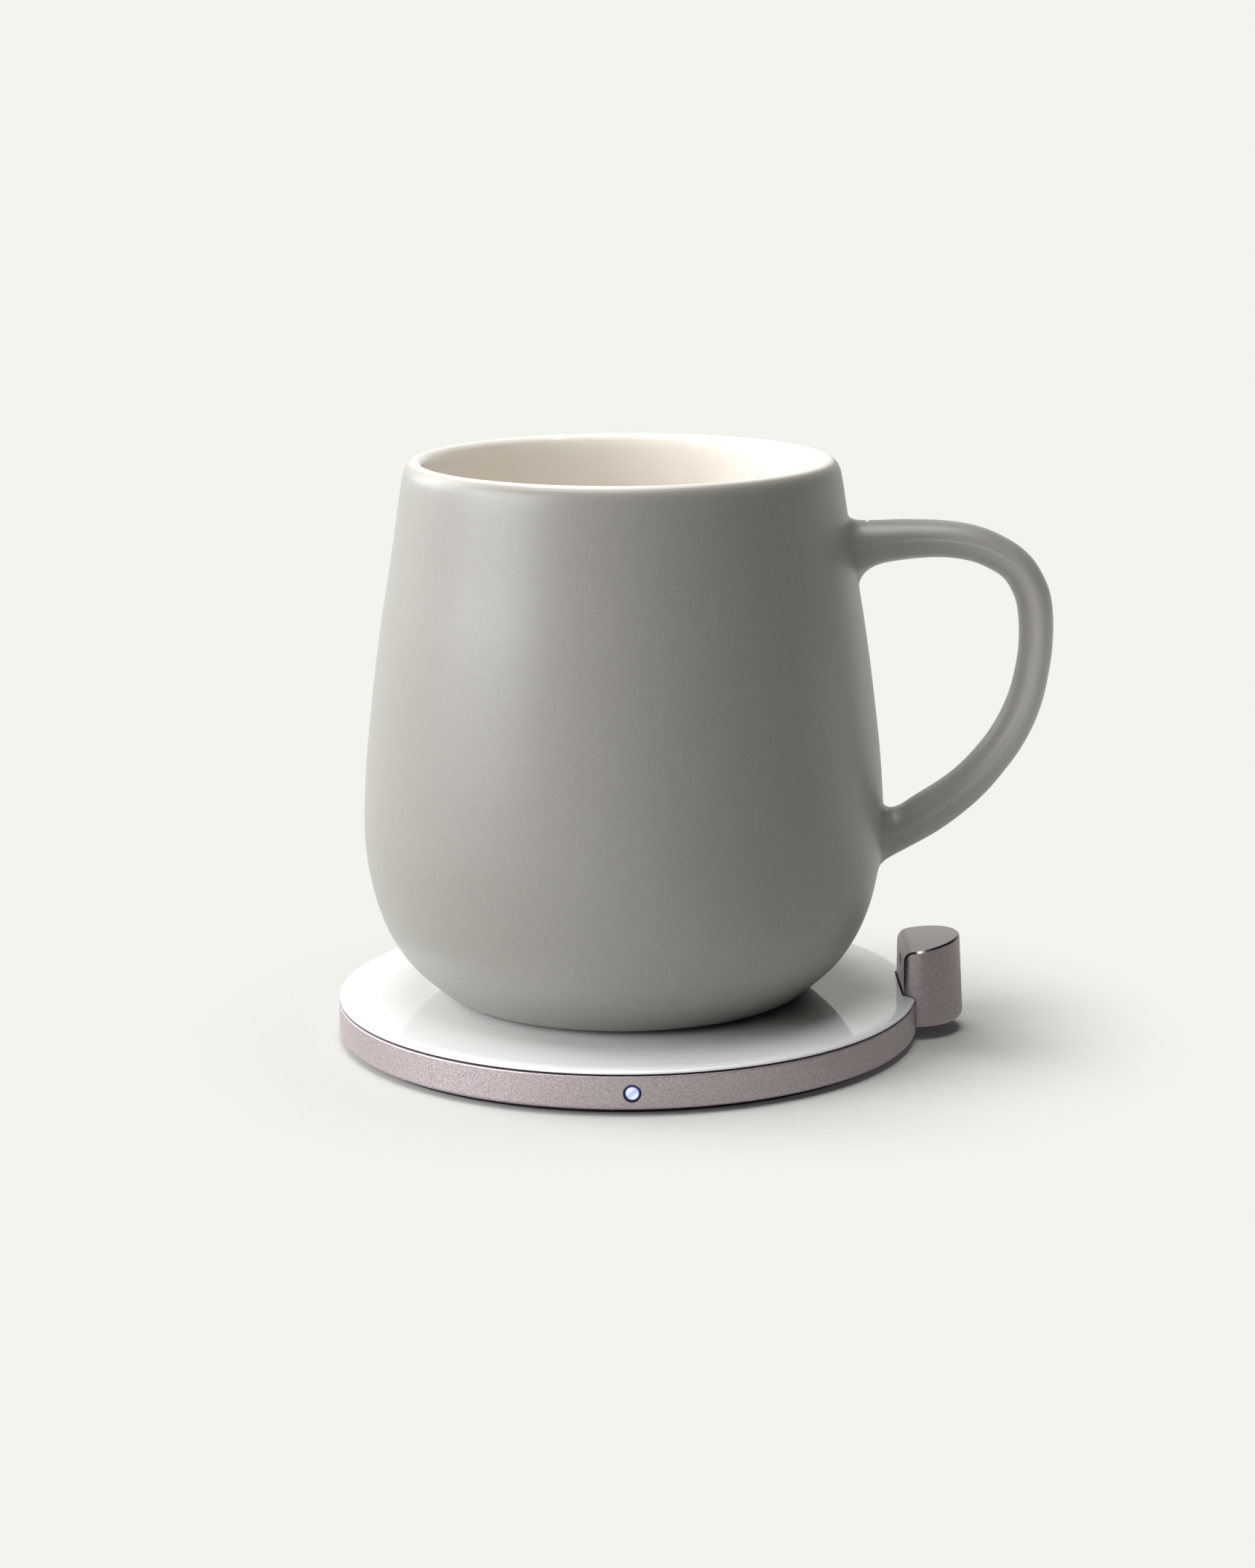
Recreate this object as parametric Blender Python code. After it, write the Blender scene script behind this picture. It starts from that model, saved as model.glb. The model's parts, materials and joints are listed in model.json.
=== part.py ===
"""Self heating mug: a glazed ceramic mug that stands on a round induction warming disc with a small sensor tower."""

import math

import bmesh
import bpy
from mathutils import Matrix, Vector

MM = 0.001

# Clearances
FLAT_GAP = 0.05 * MM  # between flat faces that lie on each other
FIT_GAP = 0.3 * MM  # round what sits in a cut, a hole or a notch
CUT_OVERRUN = 1.0 * MM

# Facets round a full turn
LARGE_STEPS = 64
MUG_STEPS = 56
MIDDLE_STEPS = 32
SMALL_STEPS = 16
SCREW_STEPS = 12
CORNER_STEPS = 5
EDGE_STEPS = 4

# Disc, from the table up
DISC_RADIUS = 50.0 * MM
PAD_THICKNESS = 1.0 * MM
PAD_INSET = 2.0 * MM
BASE_THICKNESS = 1.0 * MM
TRAY_THICKNESS = 0.5 * MM
FERRITE_THICKNESS = 1.0 * MM
COIL_WIRE = 1.1 * MM
COIL_LIFT = 0.45 * MM
HEADROOM = 0.5 * MM
BACKER_THICKNESS = 0.8 * MM
ADHESIVE_THICKNESS = 0.25 * MM
GLASS_THICKNESS = 0.75 * MM

# Side ring
RING_WALL = 1.6 * MM
RING_CHAMFER = 0.25 * MM
LEDGE_WIDTH = 2.4 * MM
LEDGE_THICKNESS = 0.55 * MM
LUG_LENGTH = 4.2 * MM
LUG_WIDTH = 5.0 * MM
LUG_COUNT = 4

# Glass
GLASS_INSET = 0.2 * MM
GLASS_EDGE = 0.35 * MM
ADHESIVE_INSET = 0.6 * MM
SENSOR_HOLE_RADIUS = 3.2 * MM

# Coil and what carries it
COIL_TURNS = 7
COIL_PITCH_SHARE = 0.04  # of DISC_RADIUS
COIL_INNER_SHARE = 0.144
COIL_MARGIN = 2.2 * MM
FERRITE_SLOT = 2.0 * MM
TRAY_BOSS_RADIUS = 3.5 * MM
LEAD_AZIMUTH = 20.0
LEAD_OUT_AZIMUTH = -20.0
POINTS_PER_TURN = 24

# Thermistor on its silicone post
POST_RADIUS = 2.5 * MM
THERMISTOR_LENGTH = 3.0 * MM
THERMISTOR_WIDTH = 1.6 * MM
THERMISTOR_HEIGHT = 0.45 * MM
RIBBON_WIDTH = 1.6 * MM
RIBBON_THICKNESS = 0.15 * MM
RIBBON_AZIMUTH = 200.0

# Main board
BOARD_THICKNESS = 0.6 * MM
BOARD_LIFT = 0.4 * MM
BOARD_EDGE_GAP = 1.2 * MM
BOARD_POST_RADIUS = 2.2 * MM
BOARD_SCREW_AZIMUTHS = (90.0, 210.0, 330.0)
CONTROL_CHIP = (6.0 * MM, 6.0 * MM, 0.9 * MM)
DRIVER_CHIP = (5.0 * MM, 5.0 * MM, 0.9 * MM)
CAPACITOR = (3.2 * MM, 1.6 * MM, 1.6 * MM)
CAPACITOR_COUNT = 4
CAPACITOR_AZIMUTH = 240.0
CAPACITOR_STEP = 6.0
CONTROL_AZIMUTH = 150.0
DRIVER_AZIMUTH = 120.0
INDUCTOR_AZIMUTH = 60.0
INDUCTOR_RADIUS = 3.2 * MM
INDUCTOR_HEIGHT = 1.9 * MM
INDUCTOR_EDGE = 0.4 * MM
TERMINAL = (2.4 * MM, 2.4 * MM, 1.4 * MM)
RIBBON_SOCKET = (2.4 * MM, 5.0 * MM, 1.2 * MM)

# Screws
SCREW_HEAD_RADIUS = 1.5 * MM
SCREW_HEAD_HEIGHT = 0.7 * MM
SCREW_SHANK_RADIUS = 0.7 * MM
SCREW_LENGTH = 2.6 * MM
SCREW_RECESS = 0.35 * MM
BOARD_SCREW_LENGTH = 1.5 * MM

# Status light
LENS_RADIUS = 1.15 * MM
LENS_LENGTH = 3.2 * MM
LENS_CROWN = 0.15 * MM
BEZEL_WALL = 0.25 * MM
LIGHT_BELOW_LEDGE = 1.4 * MM
LIGHT_CHIP = (1.6 * MM, 0.6 * MM, 1.2 * MM)
LIGHT_BOARD_WIDTH = 5.0 * MM

# Tower
TOWER_RADIUS = 9.1 * MM
TOWER_FLAT = 1.7 * MM  # from the round back's axis to the flat front
TOWER_CORNER = 3.3 * MM
TOWER_INSET = 1.0 * MM
TOWER_GAP = 0.25 * MM
TOWER_FRONT_HEIGHT = 13.05 * MM
TOWER_RISE_SHARE = 0.169  # the top rises by this share of the way back from the flat front
TOWER_DRAFT = 0.6 * MM
TOWER_HEM = 0.8 * MM
TOWER_HEM_HEIGHT = 1.4 * MM
TOWER_SHOULDER = 1.3 * MM
TOWER_CHAMFER = 0.4 * MM
TOWER_WALL = 1.2 * MM
TOWER_ROOF = 1.6 * MM
TOWER_FLOOR_THICKNESS = 1.0 * MM
TONGUE_LENGTH = 3.6 * MM
TONGUE_WIDTH = 10.0 * MM
TONGUE_BOSS_RADIUS = 1.35 * MM
TONGUE_BOSS_HEIGHT = 1.4 * MM
TONGUE_SCREW_SPREAD = 3.4 * MM
DOORWAY_HEIGHT = 3.9 * MM

# Sensor in the tower
WINDOW_WIDTH = 3.5 * MM
WINDOW_HEIGHT = 2.3 * MM
WINDOW_DROP = 3.15 * MM  # from the top of the flat front
WINDOW_THICKNESS = 0.6 * MM
WINDOW_RECESS = 0.35 * MM
SENSOR = (0.9 * MM, 3.0 * MM, 2.4 * MM)
SENSOR_SETBACK = 0.1 * MM
TOWER_BOARD_THICKNESS = 0.8 * MM
TOWER_BOARD_WIDTH = 11.0 * MM

# Power inlet, upright on the back of the tower's board and open to the rear
INLET_WIDTH = 8.94 * MM
INLET_THICKNESS = 3.26 * MM
INLET_LENGTH = 7.2 * MM
INLET_RECESS = 0.3 * MM
INLET_WALL = 0.3 * MM
INLET_TONGUE = (6.7 * MM, 0.7 * MM, 4.6 * MM)  # up, across and toward the mouth
TOWER_RIBBON_WIDTH = 3.0 * MM

# Mug
MUG_HEIGHT = 91.9 * MM
MUG_RADIUS = 44.4 * MM
MUG_OFFSET = -0.5 * MM  # the mug is set down a little off the disc's centre
MUG_WALL = 3.9 * MM
LIP_ROUND = 1.5 * MM
MUG_FLOOR = 9.0 * MM
FOOT_RADIUS = 28.4 * MM
FOOT_WIDTH = 3.2 * MM
FOOT_ROUND = 0.4 * MM
BOWL_RADIUS = 25.0 * MM
# Outer wall from the foot to the neck: radius over MUG_RADIUS, height over MUG_HEIGHT
BODY_SHARES = (
    (0.714, 0.0126),
    (0.7725, 0.0371),
    (0.8514, 0.0752),
    (0.920, 0.1295),
    (0.973, 0.2057),
    (1.0, 0.3036),
    (0.991, 0.4233),
    (0.9617, 0.5593),
    (0.9234, 0.6953),
    (0.8761, 0.8313),
    (0.8333, 0.9674),
)
WALL_ROWS = 7  # rows of BODY_SHARES that the inner wall follows
LIP_RADIUS_SHARE = 0.787
# Bowl corner: radius from BOWL_RADIUS to the inner wall, height from the floor to the wall's lowest row
BOWL_SHARES = ((0.0, 0.0), (0.3, 0.055), (0.62, 0.22), (0.86, 0.53))

# Handle
HANDLE_REACH = 25.85 * MM
HANDLE_THICKNESS = 5.8 * MM
HANDLE_WIDTH = 9.0 * MM
HANDLE_SIDES = 12
UPPER_ROOT_SHARE = 0.849
LOWER_ROOT_SHARE = 0.285
ROOT_DEPTH_SHARE = 0.45
# Centre line: reach past MUG_RADIUS over HANDLE_REACH, height over MUG_HEIGHT, thickness over HANDLE_THICKNESS
HANDLE_SHARES = (
    (0.05, 0.847, 1.18),
    (0.236, 0.849, 1.07),
    (0.545, 0.840, 1.03),
    (0.793, 0.810, 1.02),
    (0.944, 0.758, 1.02),
    (1.0, 0.693, 1.0),
    (0.983, 0.604, 0.99),
    (0.886, 0.510, 1.03),
    (0.708, 0.431, 1.07),
    (0.472, 0.3645, 1.18),
    (0.236, 0.319, 1.26),
    (0.075, 0.296, 1.42),
)
ROOT_FLARE_SHARE = 1.62
ROOT_WIDTH_SHARE = 0.4  # how much of the flare the handle's width takes up

# Heater under the mug's floor
HEATER_THICKNESS = 0.4 * MM
INSULATION_THICKNESS = 0.9 * MM
COVER_THICKNESS = 1.2 * MM
COVER_RECESS = 0.5 * MM
SEAL_WIDTH = 2.4 * MM

# Levels above the table, worked out from the sizes above
PAD_TOP = PAD_THICKNESS
BASE_BOTTOM = PAD_TOP + FLAT_GAP
BASE_TOP = BASE_BOTTOM + BASE_THICKNESS
TRAY_BOTTOM = BASE_TOP + FLAT_GAP
TRAY_TOP = TRAY_BOTTOM + TRAY_THICKNESS
FERRITE_BOTTOM = TRAY_TOP + FLAT_GAP
FERRITE_TOP = FERRITE_BOTTOM + FERRITE_THICKNESS
LEAD_LEVEL = FERRITE_BOTTOM + COIL_WIRE / 2
COIL_LEVEL = max(FERRITE_TOP, LEAD_LEVEL + COIL_WIRE / 2) + COIL_LIFT + COIL_WIRE / 2
COIL_TOP = COIL_LEVEL + COIL_WIRE / 2
BACKER_BOTTOM = COIL_TOP + HEADROOM
RING_TOP = BACKER_BOTTOM + BACKER_THICKNESS
LEDGE_TOP = BACKER_BOTTOM - FLAT_GAP
LEDGE_BOTTOM = LEDGE_TOP - LEDGE_THICKNESS
ADHESIVE_BOTTOM = RING_TOP + FLAT_GAP
GLASS_BOTTOM = ADHESIVE_BOTTOM + ADHESIVE_THICKNESS + FLAT_GAP
GLASS_TOP = GLASS_BOTTOM + GLASS_THICKNESS
MUG_LEVEL = GLASS_TOP + FLAT_GAP
BOARD_BOTTOM = BASE_TOP + BOARD_LIFT + FLAT_GAP
BOARD_TOP = BOARD_BOTTOM + BOARD_THICKNESS
PARTS_LEVEL = BOARD_TOP + FLAT_GAP
LIGHT_LEVEL = LEDGE_BOTTOM - LIGHT_BELOW_LEDGE

# Plan sizes, worked out from the sizes above
RING_BORE = DISC_RADIUS - RING_WALL
LUG_RADIUS = RING_BORE - LUG_LENGTH
SCREW_CIRCLE = RING_BORE - LUG_LENGTH / 2
BOARD_OUTER = LUG_RADIUS - BOARD_EDGE_GAP
COIL_PITCH = DISC_RADIUS * COIL_PITCH_SHARE
COIL_INNER_RADIUS = DISC_RADIUS * COIL_INNER_SHARE
COIL_OUTER = COIL_INNER_RADIUS + COIL_TURNS * COIL_PITCH
TRAY_RADIUS = COIL_OUTER + COIL_MARGIN
FERRITE_HOLE = COIL_INNER_RADIUS + COIL_WIRE / 2 + FIT_GAP
BOARD_INNER = TRAY_RADIUS + COIL_MARGIN
BOARD_MIDDLE = (BOARD_INNER + BOARD_OUTER) / 2
TOWER_X = DISC_RADIUS - TOWER_INSET
TOWER_BOTTOM = BASE_TOP + FLAT_GAP
TOWER_TOP = TOWER_BOTTOM + TOWER_FRONT_HEIGHT
TOWER_FACE = TOWER_X - TOWER_FLAT
CAVITY_INSET = TOWER_DRAFT + TOWER_WALL
FLOOR_BOTTOM = TOWER_BOTTOM + FLAT_GAP
FLOOR_TOP = FLOOR_BOTTOM + TOWER_FLOOR_THICKNESS
CAVITY_FACE = TOWER_FACE + TOWER_WALL
TOWER_BOARD_FACE = CAVITY_FACE + SENSOR_SETBACK + SENSOR[0] + FLAT_GAP
TOWER_BOARD_BACK = TOWER_BOARD_FACE + TOWER_BOARD_THICKNESS
INLET_LEVEL = FLOOR_TOP + FIT_GAP + INLET_WIDTH / 2
INLET_X = TOWER_BOARD_BACK + FLAT_GAP + INLET_THICKNESS / 2
WINDOW_LEVEL = TOWER_TOP - WINDOW_DROP
RECESS_RADIUS = FOOT_RADIUS - FOOT_WIDTH
RECESS_DEPTH = (
    COVER_RECESS + COVER_THICKNESS + INSULATION_THICKNESS + HEATER_THICKNESS + 3 * FLAT_GAP
)

FINISHES = {
    "grey_glaze": ((0.36, 0.35, 0.33), 0.38, 0.0),
    "clear_white_glass": ((0.90, 0.90, 0.89), 0.05, 0.0),
    "mauve_metal": ((0.45, 0.39, 0.40), 0.40, 0.9),
    "black_plastic": ((0.02, 0.02, 0.02), 0.55, 0.0),
    "black_silicone": ((0.03, 0.03, 0.03), 0.80, 0.0),
    "white_plastic": ((0.75, 0.75, 0.73), 0.50, 0.0),
    "lit_lens": ((0.62, 0.70, 0.95), 0.15, 0.0),
    "green_board": ((0.02, 0.20, 0.08), 0.45, 0.0),
    "black_epoxy": ((0.03, 0.03, 0.035), 0.50, 0.0),
    "copper": ((0.72, 0.36, 0.20), 0.35, 1.0),
    "tin": ((0.70, 0.70, 0.70), 0.30, 1.0),
    "steel": ((0.55, 0.55, 0.56), 0.30, 1.0),
    "ferrite": ((0.06, 0.06, 0.07), 0.60, 0.0),
    "tan_ceramic": ((0.55, 0.42, 0.28), 0.50, 0.0),
    "silver_film": ((0.70, 0.70, 0.68), 0.35, 1.0),
    "amber_film": ((0.60, 0.28, 0.05), 0.35, 0.0),
    "pale_silicone": ((0.70, 0.70, 0.70), 0.75, 0.0),
    "smoked_glass": ((0.02, 0.02, 0.03), 0.08, 0.0),
}


def clear_scene():
    for obj in list(bpy.data.objects):
        bpy.data.objects.remove(obj, do_unlink=True)


def painted(obj, finish):
    """Gives the object a Principled material of its own."""
    colour, roughness, metallic = FINISHES[finish]
    material = bpy.data.materials.new(f"{obj.name}_{finish}")
    material.use_nodes = True
    shader = material.node_tree.nodes["Principled BSDF"]
    shader.inputs["Base Color"].default_value = (*colour, 1.0)
    shader.inputs["Roughness"].default_value = roughness
    shader.inputs["Metallic"].default_value = metallic
    obj.data.materials.append(material)
    return obj


def object_from(name, bm, at=(0, 0, 0), spin=0.0):
    """Turns a bmesh into an object whose faces point outwards."""
    bm.normal_update()
    bmesh.ops.recalc_face_normals(bm, faces=bm.faces)
    if bm.calc_volume(signed=True) < 0:
        bmesh.ops.reverse_faces(bm, faces=bm.faces)
    mesh = bpy.data.meshes.new(name)
    bm.to_mesh(mesh)
    bm.free()
    mesh.shade_smooth()
    mesh.set_sharp_from_angle(angle=math.radians(35))
    obj = bpy.data.objects.new(name, mesh)
    bpy.context.collection.objects.link(obj)
    obj.location = at
    obj.rotation_euler = (0, 0, math.radians(spin))
    return obj


def turned(name, profile, steps, at=(0, 0, 0), closed=False, toward_front=False):
    """Spins a profile of (radius, height) points round the upright axis, or round the front-to-back axis."""
    bm = bmesh.new()
    points = [bm.verts.new((radius, 0, height)) for radius, height in profile]
    edges = [bm.edges.new(pair) for pair in zip(points, points[1:])]
    if closed:
        edges.append(bm.edges.new((points[-1], points[0])))
    bmesh.ops.spin(
        bm, geom=points + edges, cent=(0, 0, 0), axis=(0, 0, 1), angle=math.tau, steps=steps, use_merge=True
    )
    bmesh.ops.remove_doubles(bm, verts=bm.verts, dist=FLAT_GAP / 1000)
    if toward_front:
        bm.transform(Matrix.Rotation(math.radians(90), 4, "X"))
    return object_from(name, bm, at)


def extruded(name, outline, depth, at=(0, 0, 0), spin=0.0, along="Z"):
    """Extrudes a flat outline. Along X, the outline's directions are Y and Z, and along Y they are Z and X."""
    bm = bmesh.new()
    face = bm.faces.new([bm.verts.new((u, v, 0)) for u, v in outline])
    made = bmesh.ops.extrude_face_region(bm, geom=[face])
    moved = [item for item in made["geom"] if isinstance(item, bmesh.types.BMVert)]
    bmesh.ops.translate(bm, verts=moved, vec=(0, 0, depth))
    if along == "X":
        bm.transform(Matrix(((0, 0, 1, 0), (1, 0, 0, 0), (0, 1, 0, 0), (0, 0, 0, 1))))
    elif along == "Y":
        bm.transform(Matrix(((0, 1, 0, 0), (0, 0, 1, 0), (1, 0, 0, 0), (0, 0, 0, 1))))
    return object_from(name, bm, at, spin)


def rectangle(length, width):
    x, y = length / 2, width / 2
    return [(-x, -y), (x, -y), (x, y), (-x, y)]


def block(name, size, at, spin=0.0):
    """A box of this size that stands on the point at."""
    return extruded(name, rectangle(size[0], size[1]), size[2], at, spin)


def oblong(width, height, steps):
    """A slot's outline, with half-round ends."""
    radius = height / 2
    outline = []
    for side, start in ((1, -90), (-1, 90)):
        for i in range(steps + 1):
            angle = math.radians(start + 180 * i / steps)
            across = side * (width / 2 - radius) + radius * math.cos(angle)
            outline.append((across, radius * math.sin(angle)))
    return outline


def circle(radius, steps):
    return [
        (radius * math.cos(math.tau * i / steps), radius * math.sin(math.tau * i / steps)) for i in range(steps)
    ]


def d_outline(inset=0.0, front=None):
    """The tower's plan, drawn in by inset at its round back and by front at its flat face."""
    front = inset if front is None else front
    radius = TOWER_RADIUS - inset
    flat = TOWER_FLAT - front
    corner = max(TOWER_CORNER - (inset + front) / 2, TOWER_CORNER / 4)
    centre_x = corner - flat
    centre_y = math.sqrt((radius - corner) ** 2 - centre_x**2)
    turn = math.atan2(centre_y, centre_x)
    back = [
        (radius * math.cos(turn * i / SMALL_STEPS), radius * math.sin(turn * i / SMALL_STEPS))
        for i in range(-SMALL_STEPS + 1, SMALL_STEPS, 2)
    ]
    side = []
    for i in range(CORNER_STEPS + 1):
        angle = turn + (math.pi - turn) * i / CORNER_STEPS
        side.append((centre_x + corner * math.cos(angle), centre_y + corner * math.sin(angle)))
    return back + side + [(x, -y) for x, y in reversed(side)]


def front_shares():
    """For each point of the tower's plan, 1 on the flat front and 0 on the round back."""
    side = [smoothstep(i / CORNER_STEPS) for i in range(CORNER_STEPS + 1)]
    return [0.0] * SMALL_STEPS + side + side[::-1]


def lofted(name, rings, at=(0, 0, 0)):
    """Joins outlines of (height, points) into one closed solid. A point may add a height of its own."""
    bm = bmesh.new()
    loops = [
        [bm.verts.new((x, y, height + sum(lift))) for x, y, *lift in outline] for height, outline in rings
    ]
    for low, high in zip(loops, loops[1:]):
        for i in range(len(low)):
            j = (i + 1) % len(low)
            bm.faces.new((low[i], low[j], high[j], high[i]))
    bm.faces.new(loops[0])
    bm.faces.new(loops[-1])
    return object_from(name, bm, at)


def carve(obj, *cutters):
    """Cuts hidden shapes out of the object."""
    combine(obj, "DIFFERENCE", cutters)


def weld(obj, *pieces):
    """Adds hidden shapes to the object."""
    combine(obj, "UNION", pieces)


def combine(obj, operation, others):
    for other in others:
        other.hide_render = True
        other.display_type = "WIRE"
        modifier = obj.modifiers.new(other.name, "BOOLEAN")
        modifier.operation = operation
        modifier.solver = "EXACT"
        modifier.object = other


def polar(radius, azimuth, height=0.0):
    angle = math.radians(azimuth)
    return Vector((radius * math.cos(angle), radius * math.sin(angle), height))


def tower_inset(height):
    """How far the tower's side has drawn in at a height above the table."""
    low = TOWER_BOTTOM + TOWER_HEM_HEIGHT
    return TOWER_DRAFT * min(max((height - low) / (TOWER_TOP - low), 0), 1)


def notch(name, bottom, top):
    """The cut that leaves room for the tower in a piece that lies between two heights."""
    outline = d_outline(tower_inset(bottom) - TOWER_GAP, -TOWER_GAP)
    rings = [(bottom - CUT_OVERRUN, outline), (top + CUT_OVERRUN, outline)]
    return lofted(name, rings, (TOWER_X, 0, 0))


def screw(name, at, length, countersunk=False):
    """A screw that stands on its tip, or hangs head down when countersunk."""
    head = SCREW_HEAD_RADIUS
    shank = SCREW_SHANK_RADIUS
    tip = shank / 2
    under_head = shank if countersunk else head
    profile = [
        (0, -SCREW_RECESS),
        (shank, 0),
        (head, 0),
        (under_head, -SCREW_HEAD_HEIGHT),
        (shank, -SCREW_HEAD_HEIGHT),
        (shank, -SCREW_HEAD_HEIGHT - length + tip),
        (tip, -SCREW_HEAD_HEIGHT - length),
        (0, -SCREW_HEAD_HEIGHT - length),
    ]
    if countersunk:
        del profile[4]
        profile = [(radius, -height) for radius, height in profile]
    return painted(turned(name, profile, SCREW_STEPS, at), "steel")


def screw_hole(name, at, radius, bottom, top, flare=0.0):
    """A round cut, wider at the bottom where a countersunk head sits."""
    profile = [(0, bottom), (radius + flare, bottom), (radius, bottom + SCREW_HEAD_HEIGHT), (radius, top), (0, top)]
    if not flare:
        del profile[2]
    hole = turned(name, profile, SCREW_STEPS, at)
    # Half a facet off the radial line, so that no corner meets an edge of the plate
    hole.rotation_euler.z = math.atan2(at.y, at.x) + math.pi / SCREW_STEPS
    return hole


def make_foot_pad():
    radius = DISC_RADIUS - PAD_INSET
    pad = turned("foot_pad", [(0, 0), (radius, 0), (radius, PAD_TOP), (0, PAD_TOP)], LARGE_STEPS)
    painted(pad, "black_silicone")


def lug_places():
    return [45 + 360 * i / LUG_COUNT for i in range(LUG_COUNT)]


def tongue_screw_places():
    x = TOWER_FACE - TONGUE_LENGTH / 2
    return [Vector((x, side * TONGUE_SCREW_SPREAD, 0)) for side in (1, -1)]


def make_base_plate():
    radius = RING_BORE - FIT_GAP
    plate = turned(
        "base_plate", [(0, BASE_BOTTOM), (radius, BASE_BOTTOM), (radius, BASE_TOP), (0, BASE_TOP)], LARGE_STEPS
    )
    for i, azimuth in enumerate(BOARD_SCREW_AZIMUTHS):
        place = polar(BOARD_MIDDLE, azimuth)
        sink = BASE_THICKNESS / 2
        post = extruded(
            f"board_post_{i + 1}",
            circle(BOARD_POST_RADIUS, SMALL_STEPS),
            sink + BOARD_LIFT,
            place + Vector((0, 0, BASE_TOP - sink)),
        )
        hole = screw_hole(
            f"board_post_hole_{i + 1}",
            place,
            SCREW_SHANK_RADIUS + FIT_GAP / 2,
            PARTS_LEVEL - BOARD_SCREW_LENGTH - FIT_GAP,
            BASE_TOP + BOARD_LIFT + CUT_OVERRUN,
        )
        weld(plate, post)
        carve(plate, hole)
    places = [polar(SCREW_CIRCLE, azimuth) for azimuth in lug_places()] + tongue_screw_places()
    flare = SCREW_HEAD_RADIUS - SCREW_SHANK_RADIUS
    for i, place in enumerate(places):
        hole = screw_hole(
            f"base_screw_hole_{i + 1}",
            place,
            SCREW_SHANK_RADIUS + FIT_GAP,
            BASE_BOTTOM,
            BASE_TOP + CUT_OVERRUN,
            flare,
        )
        hole.location.z -= FLAT_GAP
        carve(plate, hole)
    painted(plate, "black_plastic")


def make_side_ring():
    chamfer = RING_CHAMFER
    profile = [
        (DISC_RADIUS, RING_TOP - chamfer),
        (DISC_RADIUS, PAD_TOP + chamfer),
        (DISC_RADIUS - chamfer, PAD_TOP),
        (RING_BORE, PAD_TOP),
        (RING_BORE, LEDGE_BOTTOM),
        (RING_BORE - LEDGE_WIDTH, LEDGE_BOTTOM),
        (RING_BORE - LEDGE_WIDTH, LEDGE_TOP),
        (RING_BORE, LEDGE_TOP),
        (RING_BORE, RING_TOP),
        (DISC_RADIUS - chamfer, RING_TOP),
    ]
    ring = turned("side_ring", profile, LARGE_STEPS, closed=True)
    lug_bottom = BASE_TOP + FIT_GAP
    sink = LEDGE_THICKNESS / 2
    reach = LUG_LENGTH + RING_WALL / 2
    for i, azimuth in enumerate(lug_places()):
        lug = block(
            f"screw_lug_{i + 1}",
            (reach, LUG_WIDTH, LEDGE_BOTTOM + sink - lug_bottom),
            polar(LUG_RADIUS + reach / 2, azimuth, lug_bottom),
            azimuth,
        )
        hole = screw_hole(
            f"screw_lug_hole_{i + 1}",
            polar(SCREW_CIRCLE, azimuth),
            SCREW_SHANK_RADIUS + FIT_GAP / 2,
            lug_bottom - CUT_OVERRUN,
            BASE_BOTTOM + SCREW_HEAD_HEIGHT + SCREW_LENGTH + FIT_GAP,
        )
        weld(ring, lug)
        carve(ring, hole)
    bore = LENS_RADIUS + BEZEL_WALL + 2 * FLAT_GAP
    light_hole = turned(
        "light_hole",
        [(0, RING_BORE - CUT_OVERRUN), (bore, RING_BORE - CUT_OVERRUN), (bore, DISC_RADIUS + CUT_OVERRUN),
         (0, DISC_RADIUS + CUT_OVERRUN)],
        SMALL_STEPS,
        (0, 0, LIGHT_LEVEL),
        toward_front=True,
    )
    carve(ring, light_hole, notch("ring_notch", PAD_TOP, RING_TOP))
    painted(ring, "mauve_metal")


def make_top():
    radius = RING_BORE - FIT_GAP
    backer = turned(
        "glass_backer",
        [(SENSOR_HOLE_RADIUS, BACKER_BOTTOM), (radius, BACKER_BOTTOM), (radius, RING_TOP),
         (SENSOR_HOLE_RADIUS, RING_TOP)],
        LARGE_STEPS,
        closed=True,
    )
    carve(backer, notch("backer_notch", BACKER_BOTTOM, RING_TOP))
    painted(backer, "white_plastic")

    radius = DISC_RADIUS - ADHESIVE_INSET
    top = ADHESIVE_BOTTOM + ADHESIVE_THICKNESS
    adhesive = turned(
        "glass_adhesive",
        [(SENSOR_HOLE_RADIUS, ADHESIVE_BOTTOM), (radius, ADHESIVE_BOTTOM), (radius, top), (SENSOR_HOLE_RADIUS, top)],
        LARGE_STEPS,
        closed=True,
    )
    carve(adhesive, notch("adhesive_notch", ADHESIVE_BOTTOM, top))
    painted(adhesive, "black_silicone")

    radius = DISC_RADIUS - GLASS_INSET
    edge = [(radius - GLASS_EDGE * (1 - math.cos(angle)), GLASS_TOP - GLASS_EDGE * (1 - math.sin(angle)))
            for angle in (math.radians(45 * i) for i in range(3))]
    profile = [(0, GLASS_BOTTOM), (radius, GLASS_BOTTOM), *edge, (0, GLASS_TOP)]
    glass = turned("glass_top", profile, LARGE_STEPS)
    carve(glass, notch("glass_notch", GLASS_BOTTOM, GLASS_TOP))
    painted(glass, "clear_white_glass")


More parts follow.
